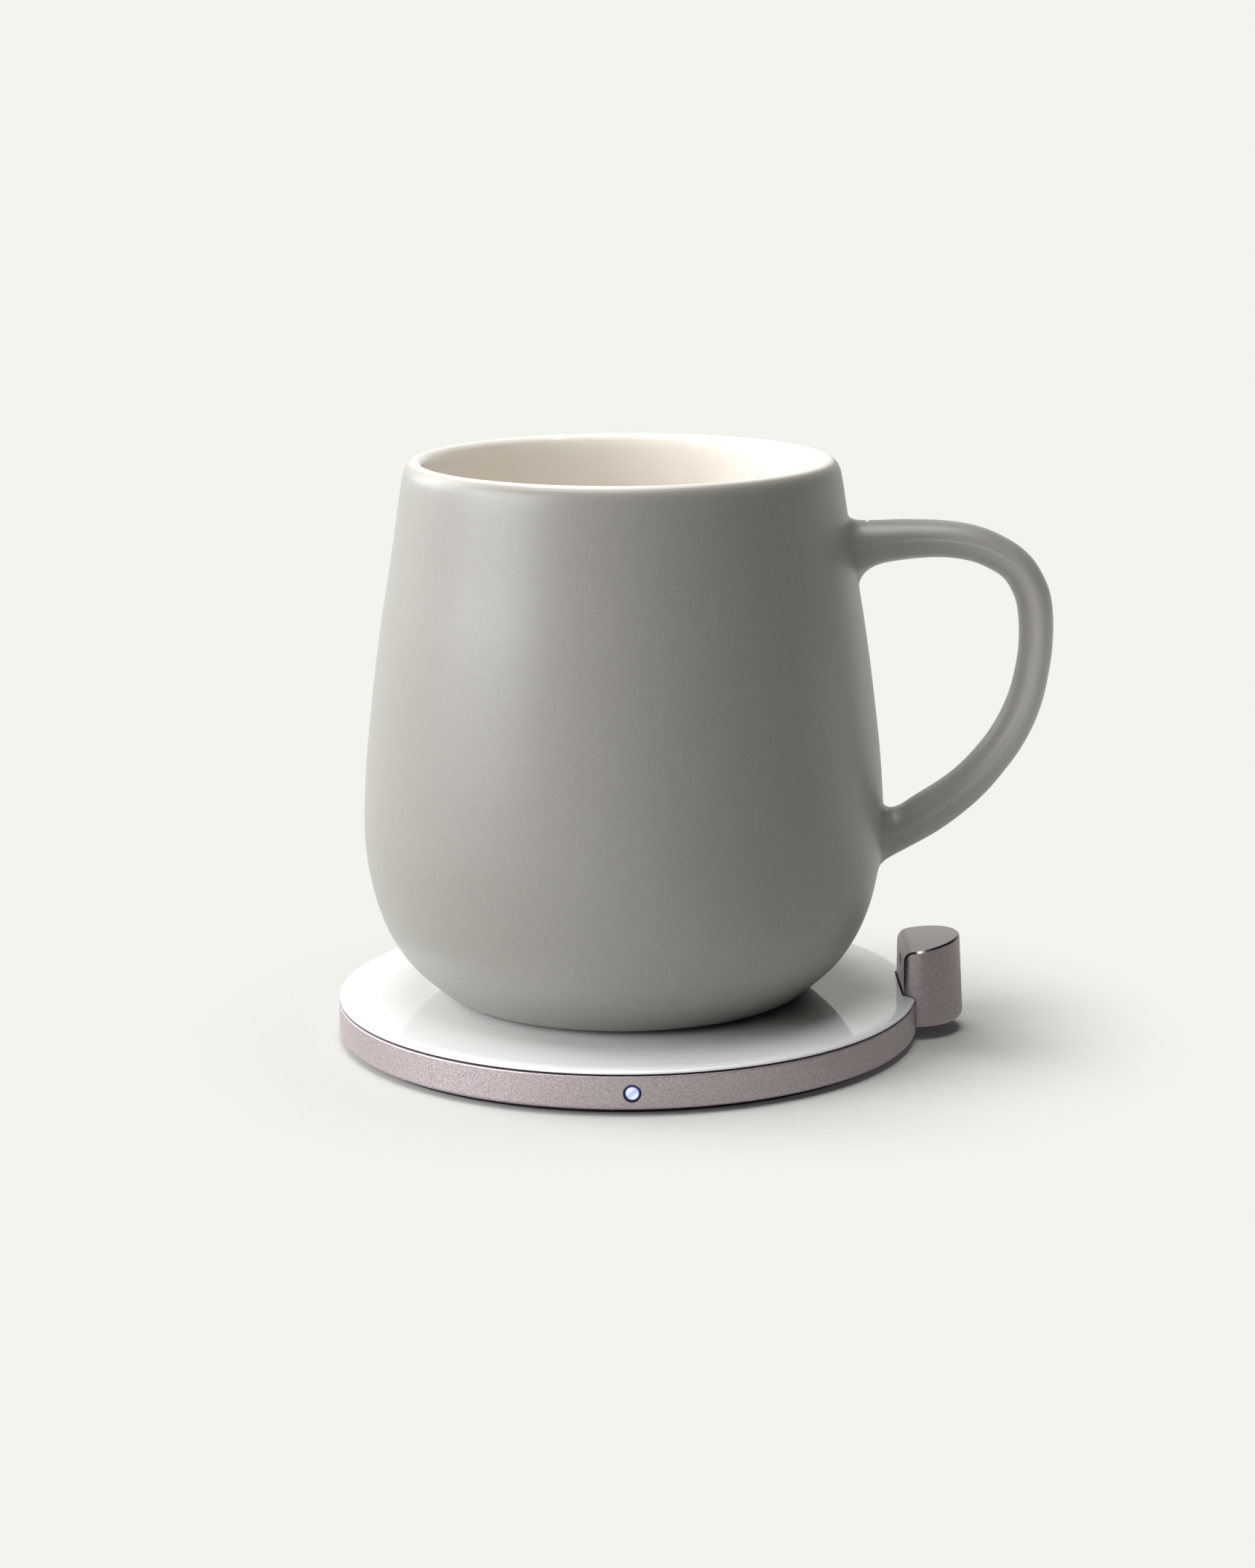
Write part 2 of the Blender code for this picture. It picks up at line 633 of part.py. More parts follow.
def make_status_light():
    lens = turned(
        "light_lens",
        [(0, DISC_RADIUS - LENS_LENGTH), (LENS_RADIUS, DISC_RADIUS - LENS_LENGTH),
         (LENS_RADIUS, DISC_RADIUS - LENS_CROWN), (LENS_RADIUS / 2, DISC_RADIUS), (0, DISC_RADIUS)],
        SMALL_STEPS,
        (0, 0, LIGHT_LEVEL),
        toward_front=True,
    )
    painted(lens, "lit_lens")
    inner = LENS_RADIUS + FLAT_GAP
    outer = inner + BEZEL_WALL
    back = RING_BORE
    front = DISC_RADIUS - LENS_CROWN
    bezel = turned(
        "light_bezel",
        [(inner, back), (outer, back), (outer, front), (inner, front)],
        SMALL_STEPS,
        (0, 0, LIGHT_LEVEL),
        closed=True,
        toward_front=True,
    )
    painted(bezel, "black_plastic")
    chip_y = DISC_RADIUS - LENS_LENGTH - FLAT_GAP - LIGHT_CHIP[1] / 2
    chip = block("light_chip", LIGHT_CHIP, (0, -chip_y, LIGHT_LEVEL - LIGHT_CHIP[2] / 2))
    painted(chip, "white_plastic")
    board_y = chip_y - LIGHT_CHIP[1] / 2 - FLAT_GAP - BOARD_THICKNESS / 2
    low = BASE_TOP + FLAT_GAP
    board = block(
        "light_board", (LIGHT_BOARD_WIDTH, BOARD_THICKNESS, LEDGE_BOTTOM - FLAT_GAP - low), (0, -board_y, low)
    )
    painted(board, "green_board")


def smoothstep(share):
    return share * share * (3 - 2 * share)


def coil_points():
    """The lead in along the ferrite's slot, the spiral, and the lead out to its terminal."""
    lead_end = BOARD_INNER - FIT_GAP
    points = [polar(lead_end, LEAD_AZIMUTH, LEAD_LEVEL)]
    runs = POINTS_PER_TURN // 4
    rise_turn = 90.0
    for i in range(1, runs + 1):
        radius = lead_end + (COIL_INNER_RADIUS - lead_end) * i / runs
        points.append(polar(radius, LEAD_AZIMUTH, LEAD_LEVEL))
    for i in range(1, runs + 1):
        share = i / runs
        height = LEAD_LEVEL + (COIL_LEVEL - LEAD_LEVEL) * smoothstep(share)
        points.append(polar(COIL_INNER_RADIUS, LEAD_AZIMUTH + rise_turn * share, height))
    start = LEAD_AZIMUTH + rise_turn
    unwind = 45.0
    turns = COIL_TURNS - (start - LEAD_OUT_AZIMUTH + unwind) / 360
    count = round(turns * POINTS_PER_TURN)
    for i in range(1, count + 1):
        turn = turns * i / count
        points.append(polar(COIL_INNER_RADIUS + COIL_PITCH * turn, start + 360 * turn, COIL_LEVEL))
    outer = COIL_INNER_RADIUS + COIL_PITCH * turns
    drop = COIL_LEVEL - (PARTS_LEVEL + COIL_WIRE / 2)
    for i in range(1, runs + 1):
        share = i / runs
        radius = outer + (lead_end - outer) * share**2
        azimuth = start + 360 * turns + unwind * (2 * share - share**2)
        points.append(polar(radius, azimuth, COIL_LEVEL - drop * smoothstep(share**2)))
    return points


def least_gap(points, wire):
    """The wire's least distance to itself, past its neighbouring points."""
    apart = POINTS_PER_TURN // 3
    return min(
        (points[i] - points[j]).length - wire for i in range(len(points)) for j in range(i + apart, len(points))
    )


def make_coil():
    points = coil_points()
    curve = bpy.data.curves.new("induction_coil", "CURVE")
    curve.dimensions = "3D"
    spline = curve.splines.new("POLY")
    spline.points.add(len(points) - 1)
    for place, point in zip(spline.points, points):
        place.co = (*point, 1.0)
    curve.bevel_depth = COIL_WIRE / 2
    curve.bevel_resolution = 1
    curve.use_fill_caps = True
    coil = bpy.data.objects.new("induction_coil", curve)
    bpy.context.collection.objects.link(coil)
    painted(coil, "copper")
    print(f"induction_coil: least gap to itself {least_gap(points, COIL_WIRE) / MM:.2f} mm")


def make_coil_bed():
    tray = turned(
        "coil_tray",
        [(0, TRAY_BOTTOM), (TRAY_RADIUS, TRAY_BOTTOM), (TRAY_RADIUS, TRAY_TOP), (TRAY_BOSS_RADIUS, TRAY_TOP),
         (TRAY_BOSS_RADIUS, FERRITE_TOP), (0, FERRITE_TOP)],
        MIDDLE_STEPS,
    )
    painted(tray, "white_plastic")
    outer = COIL_OUTER + COIL_WIRE / 2
    ferrite = turned(
        "ferrite_disc",
        [(FERRITE_HOLE, FERRITE_BOTTOM), (outer, FERRITE_BOTTOM), (outer, FERRITE_TOP), (FERRITE_HOLE, FERRITE_TOP)],
        MIDDLE_STEPS,
        closed=True,
    )
    slot = block(
        "ferrite_slot",
        (outer, FERRITE_SLOT, FERRITE_THICKNESS + 2 * CUT_OVERRUN),
        polar(FERRITE_HOLE / 2 + outer / 2 + CUT_OVERRUN, LEAD_AZIMUTH, FERRITE_BOTTOM - CUT_OVERRUN),
        LEAD_AZIMUTH,
    )
    carve(ferrite, slot)
    painted(ferrite, "ferrite")


def make_thermistor():
    low = FERRITE_TOP + FLAT_GAP
    thermistor_bottom = GLASS_BOTTOM - FLAT_GAP - THERMISTOR_HEIGHT
    high = thermistor_bottom - FLAT_GAP
    post = turned("sensor_post", [(0, low), (POST_RADIUS, low), (POST_RADIUS, high), (0, high)], SMALL_STEPS)
    painted(post, "pale_silicone")
    size = (THERMISTOR_LENGTH, THERMISTOR_WIDTH, THERMISTOR_HEIGHT)
    painted(block("thermistor", size, (0, 0, thermistor_bottom)), "black_epoxy")
    inner = POST_RADIUS + FIT_GAP
    outer = BOARD_INNER + TERMINAL[0] / 2
    level = COIL_TOP + (HEADROOM - RIBBON_THICKNESS) / 2
    outline = [
        (inner, level),
        (outer, level),
        (outer, PARTS_LEVEL),
        (outer + RIBBON_THICKNESS, PARTS_LEVEL),
        (outer + RIBBON_THICKNESS, level + RIBBON_THICKNESS),
        (inner, level + RIBBON_THICKNESS),
    ]
    painted(ribbon("sensor_ribbon", outline, RIBBON_WIDTH, RIBBON_AZIMUTH), "amber_film")


def ribbon(name, outline, width, azimuth):
    """A flat cable drawn from the side, as (radius, height) points, and set at an azimuth."""
    bm = bmesh.new()
    face = bm.faces.new([bm.verts.new((radius, -width / 2, height)) for radius, height in outline])
    made = bmesh.ops.extrude_face_region(bm, geom=[face])
    moved = [item for item in made["geom"] if isinstance(item, bmesh.types.BMVert)]
    bmesh.ops.translate(bm, verts=moved, vec=(0, width, 0))
    return object_from(name, bm, (0, 0, 0), azimuth)


def make_main_board():
    board = turned(
        "main_board",
        [(BOARD_INNER, BOARD_BOTTOM), (BOARD_OUTER, BOARD_BOTTOM), (BOARD_OUTER, BOARD_TOP), (BOARD_INNER, BOARD_TOP)],
        LARGE_STEPS // 4 * 3,
        closed=True,
    )
    for i, azimuth in enumerate(BOARD_SCREW_AZIMUTHS):
        place = polar(BOARD_MIDDLE, azimuth)
        hole = screw_hole(
            f"board_hole_{i + 1}",
            place,
            SCREW_SHANK_RADIUS + FIT_GAP,
            BOARD_BOTTOM - CUT_OVERRUN,
            BOARD_TOP + CUT_OVERRUN,
        )
        carve(board, hole)
        head_top = PARTS_LEVEL + SCREW_HEAD_HEIGHT
        screw(f"board_screw_{i + 1}", place + Vector((0, 0, head_top)), BOARD_SCREW_LENGTH)
    painted(board, "green_board")

    chips = [
        ("control_chip", CONTROL_CHIP, CONTROL_AZIMUTH, BOARD_MIDDLE, "black_epoxy"),
        ("driver_chip", DRIVER_CHIP, DRIVER_AZIMUTH, BOARD_MIDDLE, "black_epoxy"),
    ]
    for i in range(CAPACITOR_COUNT):
        azimuth = CAPACITOR_AZIMUTH + CAPACITOR_STEP * i
        chips.append((f"capacitor_{i + 1}", CAPACITOR, azimuth, BOARD_MIDDLE, "tan_ceramic"))
    for i, azimuth in enumerate((LEAD_AZIMUTH, LEAD_OUT_AZIMUTH)):
        chips.append((f"coil_terminal_{i + 1}", TERMINAL, azimuth, BOARD_INNER + TERMINAL[0] / 2, "tin"))
    ribbon_socket_radius = BOARD_OUTER - RIBBON_SOCKET[0] / 2
    chips.append(("ribbon_socket", RIBBON_SOCKET, 0, ribbon_socket_radius, "white_plastic"))
    for name, size, azimuth, radius, finish in chips:
        painted(block(name, size, polar(radius, azimuth, PARTS_LEVEL), azimuth), finish)

    high = PARTS_LEVEL + INDUCTOR_HEIGHT
    inductor = turned(
        "power_inductor",
        [(0, PARTS_LEVEL), (INDUCTOR_RADIUS, PARTS_LEVEL), (INDUCTOR_RADIUS, high - INDUCTOR_EDGE),
         (INDUCTOR_RADIUS - INDUCTOR_EDGE, high), (0, high)],
        SMALL_STEPS,
        polar(BOARD_MIDDLE, INDUCTOR_AZIMUTH),
    )
    painted(inductor, "ferrite")


def make_base_screws():
    places = [polar(SCREW_CIRCLE, azimuth) for azimuth in lug_places()]
    for i, place in enumerate(places):
        screw(f"base_screw_{i + 1}", place + Vector((0, 0, BASE_BOTTOM)), SCREW_LENGTH, True)
    length = TOWER_FLOOR_THICKNESS + TONGUE_BOSS_HEIGHT / 2
    for i, place in enumerate(tongue_screw_places()):
        screw(f"tower_screw_{i + 1}", place + Vector((0, 0, BASE_BOTTOM)), length, True)


def tower_rings():
    """The tower's outlines from its hem to its sloping top, whose edge is round in front and a chamfer behind."""
    low = TOWER_BOTTOM + TOWER_HEM_HEIGHT
    rings = [(TOWER_BOTTOM, d_outline(TOWER_HEM)), (low, d_outline(0, 0))]
    full = d_outline(TOWER_DRAFT, 0)
    drawn_in = d_outline(TOWER_DRAFT + TOWER_SHOULDER, TOWER_SHOULDER)
    edges = [TOWER_CHAMFER + (TOWER_SHOULDER - TOWER_CHAMFER) * share for share in front_shares()]
    for i in range(EDGE_STEPS + 1):
        angle = math.radians(90 * i / EDGE_STEPS)
        ring = []
        for (x, y), (inner_x, inner_y), edge in zip(full, drawn_in, edges):
            inward = edge / TOWER_SHOULDER * (1 - math.cos(angle))
            place = Vector((x + (inner_x - x) * inward, y + (inner_y - y) * inward))
            level = TOWER_TOP + TOWER_RISE_SHARE * (place.x + TOWER_FLAT)
            ring.append((place.x, place.y, level - edge * (1 - math.sin(angle))))
        rings.append((0, ring))
    return rings


def make_tower_shell():
    shell = lofted("tower_shell", tower_rings(), (TOWER_X, 0, 0))
    inner = d_outline(CAVITY_INSET, TOWER_WALL)
    cavity = lofted(
        "tower_cavity", [(TOWER_BOTTOM - CUT_OVERRUN, inner), (TOWER_TOP - TOWER_ROOF, inner)], (TOWER_X, 0, 0)
    )
    doorway = block(
        "tower_doorway",
        (4 * TOWER_WALL, TONGUE_WIDTH + 2 * FIT_GAP, DOORWAY_HEIGHT + CUT_OVERRUN),
        (TOWER_FACE, 0, TOWER_BOTTOM - CUT_OVERRUN),
    )
    window = extruded(
        "window_slot",
        oblong(WINDOW_WIDTH, WINDOW_HEIGHT, SMALL_STEPS // 2),
        TOWER_WALL + 2 * CUT_OVERRUN,
        (TOWER_FACE - CUT_OVERRUN, 0, WINDOW_LEVEL),
        along="X",
    )
    inlet = extruded(
        "inlet_slot",
        oblong(INLET_WIDTH + 2 * FIT_GAP, INLET_THICKNESS + 2 * FIT_GAP, SMALL_STEPS // 2),
        TOWER_RADIUS,
        (INLET_X, TOWER_RADIUS / 4, INLET_LEVEL),
        along="Y",
    )
    carve(shell, cavity, doorway, window, inlet)
    painted(shell, "mauve_metal")


def make_tower_floor():
    outline = d_outline(CAVITY_INSET + FIT_GAP, TOWER_WALL + FIT_GAP)
    floor = lofted("tower_floor", [(FLOOR_BOTTOM, outline), (FLOOR_TOP, outline)], (TOWER_X, 0, 0))
    start = TOWER_FACE - TONGUE_LENGTH
    end = CAVITY_FACE + TOWER_WALL
    tongue = block(
        "tower_tongue",
        (end - start, TONGUE_WIDTH, TOWER_FLOOR_THICKNESS),
        ((start + end) / 2, 0, FLOOR_BOTTOM),
    )
    weld(floor, tongue)
    for i, place in enumerate(tongue_screw_places()):
        sink = TOWER_FLOOR_THICKNESS / 2
        boss = extruded(
            f"tongue_boss_{i + 1}",
            circle(TONGUE_BOSS_RADIUS, SMALL_STEPS),
            TONGUE_BOSS_HEIGHT + sink,
            place + Vector((0, 0, FLOOR_TOP - sink)),
        )
        hole = screw_hole(
            f"tongue_hole_{i + 1}",
            place,
            SCREW_SHANK_RADIUS + FIT_GAP / 2,
            FLOOR_BOTTOM - CUT_OVERRUN,
            FLOOR_TOP + TONGUE_BOSS_HEIGHT + CUT_OVERRUN,
        )
        weld(floor, boss)
        carve(floor, hole)
    painted(floor, "black_plastic")


def make_tower_sensor():
    window = extruded(
        "sensor_window",
        oblong(WINDOW_WIDTH - FIT_GAP, WINDOW_HEIGHT - FIT_GAP, SMALL_STEPS // 2),
        WINDOW_THICKNESS,
        (TOWER_FACE + WINDOW_RECESS, 0, WINDOW_LEVEL),
        along="X",
    )
    painted(window, "smoked_glass")
    sensor = block(
        "heat_sensor",
        SENSOR,
        (TOWER_BOARD_FACE - FLAT_GAP - SENSOR[0] / 2, 0, WINDOW_LEVEL - SENSOR[2] / 2),
    )
    painted(sensor, "black_epoxy")
    low = FLOOR_TOP + FLAT_GAP
    board = block(
        "tower_board",
        (TOWER_BOARD_THICKNESS, TOWER_BOARD_WIDTH, TOWER_TOP - TOWER_ROOF - FIT_GAP - low),
        ((TOWER_BOARD_FACE + TOWER_BOARD_BACK) / 2, 0, low),
    )
    painted(board, "green_board")


def inlet_mouth_y():
    """How far back the inlet's mouth lies, just inside the tower's narrowest wall there."""
    radius = TOWER_RADIUS - tower_inset(INLET_LEVEL + INLET_WIDTH / 2)
    far_side = INLET_X + INLET_THICKNESS / 2 - TOWER_X
    return math.sqrt(radius**2 - far_side**2) - INLET_RECESS


def make_inlet():
    start = inlet_mouth_y() - INLET_LENGTH
    steps = SMALL_STEPS // 2
    shell = extruded(
        "inlet_shell",
        oblong(INLET_WIDTH, INLET_THICKNESS, steps),
        INLET_LENGTH,
        (INLET_X, start, INLET_LEVEL),
        along="Y",
    )
    mouth = extruded(
        "inlet_mouth",
        oblong(INLET_WIDTH - 2 * INLET_WALL, INLET_THICKNESS - 2 * INLET_WALL, steps),
        INLET_LENGTH,
        (INLET_X, start + INLET_WALL, INLET_LEVEL),
        along="Y",
    )
    carve(shell, mouth)
    painted(shell, "tin")
    height, width, length = INLET_TONGUE
    tongue = extruded(
        "inlet_tongue",
        rectangle(height, width),
        length,
        (INLET_X, start + INLET_WALL + FLAT_GAP, INLET_LEVEL),
        along="Y",
    )
    painted(tongue, "black_plastic")
    inner = BOARD_OUTER + 2 * FLAT_GAP
    outer = TOWER_BOARD_FACE - FLAT_GAP
    level = FLOOR_TOP + FIT_GAP
    outline = [
        (inner, level), (outer, level), (outer, level + RIBBON_THICKNESS), (inner, level + RIBBON_THICKNESS)
    ]
    painted(ribbon("tower_ribbon", outline, TOWER_RIBBON_WIDTH, 0), "amber_film")


def wall_rows():
    """The mug's outer wall from the foot to the neck, as smooth points of (radius, height)."""
    return smoothed([Vector((MUG_RADIUS * radius, MUG_HEIGHT * height)) for radius, height in BODY_SHARES], 2)


def wall_radius(height):
    """The mug's outer radius at a height above its foot."""
    rows = wall_rows()
    for low, high in zip(rows, rows[1:]):
        if low.y <= height <= high.y:
            return low.x + (high.x - low.x) * (height - low.y) / (high.y - low.y)
    return rows[-1].x


def mug_profile():
    """Out from the heater's recess, up the wall, over the lip and down to the middle of the floor."""
    profile = [
        (0, RECESS_DEPTH),
        (RECESS_RADIUS, RECESS_DEPTH),
        (RECESS_RADIUS, FOOT_ROUND),
        (RECESS_RADIUS + FOOT_ROUND, 0),
        (FOOT_RADIUS - FOOT_ROUND, 0),
    ]
    profile += wall_rows()
    lip_radius = MUG_RADIUS * LIP_RADIUS_SHARE
    lip_level = MUG_HEIGHT - LIP_ROUND
    for i in range(5):
        angle = math.radians(180 * i / 4)
        profile.append((lip_radius + LIP_ROUND * math.cos(angle), lip_level + LIP_ROUND * math.sin(angle)))
    inner_rows = [(MUG_RADIUS * radius - MUG_WALL, MUG_HEIGHT * height) for radius, height in BODY_SHARES]
    inner_rows = inner_rows[-WALL_ROWS:-1]
    profile += reversed(inner_rows[1:])
    wall, wall_foot = inner_rows[0]
    corner = [Vector((wall, wall_foot))]
    for radius, height in reversed(BOWL_SHARES):
        corner.append(
            Vector((BOWL_RADIUS + (wall - BOWL_RADIUS) * radius, MUG_FLOOR + (wall_foot - MUG_FLOOR) * height))
        )
    profile += smoothed(corner, 2)
    profile.append((0, MUG_FLOOR))
    return profile


def smoothed(points, steps):
    """Points along a smooth curve through the given ones."""
    result = []
    ends = [points[0] * 2 - points[1], *points, points[-1] * 2 - points[-2]]
    for before, start, end, after in zip(ends, ends[1:], ends[2:], ends[3:]):
        for i in range(steps):
            t = i / steps
            result.append(
                0.5 * (2 * start + (end - before) * t + (2 * before - 5 * start + 4 * end - after) * t * t
                       + (3 * start - before - 3 * end + after) * t**3)
            )
    result.append(points[-1])
    return result


def handle_stations():
    """Points of (reach, thickness, height) from the upper root to the lower one, both ends inside the wall."""
    depth = MUG_WALL * ROOT_DEPTH_SHARE
    flare = HANDLE_THICKNESS * ROOT_FLARE_SHARE
    upper = UPPER_ROOT_SHARE * MUG_HEIGHT
    lower = LOWER_ROOT_SHARE * MUG_HEIGHT
    points = [Vector((wall_radius(upper) - depth, flare, upper))]
    for reach, height, thickness in HANDLE_SHARES:
        inside = wall_radius(MUG_HEIGHT * height) if reach < 0.1 else 0
        place = max(MUG_RADIUS + HANDLE_REACH * reach, inside)
        points.append(Vector((place, HANDLE_THICKNESS * thickness, MUG_HEIGHT * height)))
    points.append(Vector((wall_radius(lower) - depth, flare, lower)))
    return smoothed(points, 2)


def make_handle():
    """The hidden tube that is joined to the mug's wall."""
    stations = handle_stations()
    bm = bmesh.new()
    loops = []
    for i, station in enumerate(stations):
        before = stations[max(i - 1, 0)]
        after = stations[min(i + 1, len(stations) - 1)]
        along = Vector((after.x - before.x, 0, after.z - before.z)).normalized()
        across = Vector((-along.z, 0, along.x))
        centre = Vector((station.x, 0, station.z))
        flare = station.y / HANDLE_THICKNESS - 1
        width = HANDLE_WIDTH * (1 + ROOT_WIDTH_SHARE * flare)
        loop = []
        for j in range(HANDLE_SIDES):
            angle = math.tau * j / HANDLE_SIDES
            side = across * (math.cos(angle) * station.y / 2) + Vector((0, math.sin(angle) * width / 2, 0))
            loop.append(bm.verts.new(centre + side))
        loops.append(loop)
    for first, second in zip(loops, loops[1:]):
        for j in range(HANDLE_SIDES):
            k = (j + 1) % HANDLE_SIDES
            bm.faces.new((first[j], first[k], second[k], second[j]))
    bm.faces.new(loops[0])
    bm.faces.new(loops[-1])
    return object_from("handle", bm)


def make_mug():
    stand = bpy.data.objects.new("mug_stand", None)
    bpy.context.collection.objects.link(stand)
    stand.location = (MUG_OFFSET, 0, MUG_LEVEL)

    body = turned("mug_body", mug_profile(), MUG_STEPS)
    handle = make_handle()
    weld(body, handle)
    painted(body, "grey_glaze")

    cover_bottom = COVER_RECESS
    seal_bottom = cover_bottom + COVER_THICKNESS + FLAT_GAP
    heater_bottom = seal_bottom + INSULATION_THICKNESS + FLAT_GAP
    radius = RECESS_RADIUS - FIT_GAP
    inner = radius - SEAL_WIDTH
    cover = disc("base_cover", 0, radius, cover_bottom, COVER_THICKNESS, "pale_silicone")
    pad = disc("insulation_pad", 0, inner - FIT_GAP, seal_bottom, INSULATION_THICKNESS, "white_plastic")
    seal = disc("base_seal", inner, radius, seal_bottom, INSULATION_THICKNESS, "black_silicone")
    heater = disc("heating_film", 0, radius, heater_bottom, HEATER_THICKNESS, "silver_film")
    for piece in (body, handle, cover, pad, seal, heater):
        piece.parent = stand


def disc(name, inner, outer, bottom, thickness, finish):
    """A flat round plate, or a ring where inner isn't zero."""
    top = bottom + thickness
    profile = [(inner, bottom), (outer, bottom), (outer, top), (inner, top)]
    return painted(turned(name, profile, MIDDLE_STEPS, closed=inner > 0), finish)


clear_scene()
make_foot_pad()
make_base_plate()
make_side_ring()
make_top()
make_status_light()
make_coil_bed()
make_coil()
make_thermistor()
make_main_board()
make_base_screws()
make_tower_shell()
make_tower_floor()
make_tower_sensor()
make_inlet()
make_mug()
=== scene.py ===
# Self heating mug on a round induction warming disc that has a small sensor tower
import json
import math

import bmesh
import bpy
from mathutils import Matrix, Vector


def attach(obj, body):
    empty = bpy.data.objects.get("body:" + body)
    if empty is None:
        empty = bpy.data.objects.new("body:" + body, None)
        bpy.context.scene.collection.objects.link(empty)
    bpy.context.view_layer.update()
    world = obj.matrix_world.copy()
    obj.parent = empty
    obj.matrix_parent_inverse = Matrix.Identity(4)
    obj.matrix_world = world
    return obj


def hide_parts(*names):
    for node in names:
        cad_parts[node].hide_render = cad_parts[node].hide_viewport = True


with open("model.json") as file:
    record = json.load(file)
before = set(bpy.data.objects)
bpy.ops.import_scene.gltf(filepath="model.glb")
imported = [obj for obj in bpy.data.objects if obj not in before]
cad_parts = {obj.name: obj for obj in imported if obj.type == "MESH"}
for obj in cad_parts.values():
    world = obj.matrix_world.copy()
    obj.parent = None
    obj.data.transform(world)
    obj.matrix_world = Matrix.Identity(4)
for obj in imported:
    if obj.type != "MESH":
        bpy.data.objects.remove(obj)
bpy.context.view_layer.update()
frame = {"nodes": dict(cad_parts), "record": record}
nodes = frame["nodes"]
mm = 0.001
print("frame loaded with", len(nodes), "CAD nodes")


# Camera, lamps, floor and background, in metres, degrees and watts

studio = {
    "cameraPlace": (0.000145, -0.5974, 0.17615),
    "cameraDown": 12.516,  # below the horizon
    "cameraRoll": -0.334,
    "objectTurn": -0.7,  # the object stands turned a little against the camera
    "cameraLens": 81.96,
    "lampAim": (0.0, 0.0, 0.05),  # for lamps without an aim of their own
    "narrowBlend": 0.6,  # share of a narrow lamp's circle that is soft
    "narrowSoftness": 0.02,
    "background": "#F3F4EE",
    "skyTone": "#F6F6F4",
    "skyLevel": 0.009,
    "darkSide": (0.58, -0.35, 0.74),  # the direction in which gloss sees the backdrop darken
    "darkSpan": (-0.1, 0.75),  # how far toward it the darkening starts and ends
    "darkLevel": 0.06,
    "floorReach": 100.0,
    "floorDrop": 0.05 * mm,  # keeps the floor clear of the foot pad's underside
    "fadeShift": (-0.01, 0.0, 0.0),
    "fadeSpan": (0.05, 0.09),  # distances over which the floor turns to plain background
    # painted shade on the paper: its colour towards the key lamp, and its plain colour
    "floorPaintedShadeTones": ("#C3C3BF", "#E2E2DE"),  # at the left and at the right
    "toneSpan": (-0.06, 0.06),
    "floorFill": 0.025,
    "dimFromLeft": (0.025, 0.07),  # x over which the reflected floor grows dark
    "dimToBack": (0.03, 0.08),  # y over which it grows pale again
    "dimLevel": 0.42,
}
lamps = {
    "keyLamp": {"place": (-1.38, -0.56, 0.6), "power": 26.6, "size": (1.3, 0.9), "tint": "#FDFDFF"},
    "wingLamp": {"place": (-1.23, 0.77, 0.71), "power": 15.8, "size": (0.9, 0.9), "tint": "#FDFDFF"},
    "topLamp": {"place": (-0.15, 0.07, 1.5), "power": 20.4, "size": (1.2, 1.0), "tint": "#FFFFFF"},
    # Narrow lamps, on the handle in the mug's shade and into the mug's mouth
    "handleLamp": {"place": (0.18, -0.95, 0.22), "power": 14.0, "angle": 3.5, "aim": (0.069, 0.0, 0.062)},
    "mouthLamp": {"place": (0.418, -0.318, 0.875), "power": 7.0, "angle": 3.8,
                  "aim": (-0.012, 0.012, 0.095)},
}


def colour(hexValue):
    channels = [int(hexValue[i:i + 2], 16) / 255 for i in (1, 3, 5)]
    return [c / 12.92 if c <= 0.04045 else ((c + 0.055) / 1.055) ** 2.4 for c in channels] + [1.0]


def addNode(tree, kind, values=None, links=None, feeds=None, **settings):
    # Adds one node with its settings and its sockets' values, links the given outputs to its sockets,
    # and links its first output to the socket that it feeds
    node = tree.nodes.new(kind)
    for name, value in settings.items():
        setattr(node, name, value)
    for socket, value in (values or {}).items():
        node.inputs[socket].default_value = value
    for socket, source in (links or {}).items():
        tree.links.new(source, node.inputs[socket])
    if feeds is not None:
        tree.links.new(node.outputs[0], feeds)
    return node


bpy.ops.object.camera_add()
camera = bpy.context.active_object
camera.name = "camera"
camera.data.sensor_width = 36.0
camera.data.lens = studio["cameraLens"]
camera.data.clip_start = 0.01
camera.data.clip_end = 500.0
camera.matrix_world = (
    Matrix.Rotation(math.radians(studio["objectTurn"]), 4, "Z")
    @ Matrix.Translation(studio["cameraPlace"])
    @ Matrix.Rotation(math.radians(90 - studio["cameraDown"]), 4, "X")
    @ Matrix.Rotation(math.radians(studio["cameraRoll"]), 4, "Z")
)
bpy.context.scene.camera = camera
bpy.context.scene.view_settings.view_transform = "Standard"

for name, values in lamps.items():
    bpy.ops.object.light_add(type="AREA" if "size" in values else "SPOT", location=values["place"])
    lamp = bpy.context.active_object
    lamp.name = name
    lamp.data.energy = values["power"]
    if "size" in values:
        lamp.data.shape = "RECTANGLE"
        lamp.data.size, lamp.data.size_y = values["size"]
        lamp.data.color = colour(values["tint"])[:3]
    else:
        lamp.data.spot_size = math.radians(values["angle"])
        lamp.data.spot_blend = studio["narrowBlend"]
        lamp.data.shadow_soft_size = studio["narrowSoftness"]
    toAim = Vector(values.get("aim", studio["lampAim"])) - lamp.location
    lamp.rotation_euler = toAim.to_track_quat("-Z", "Y").to_euler()

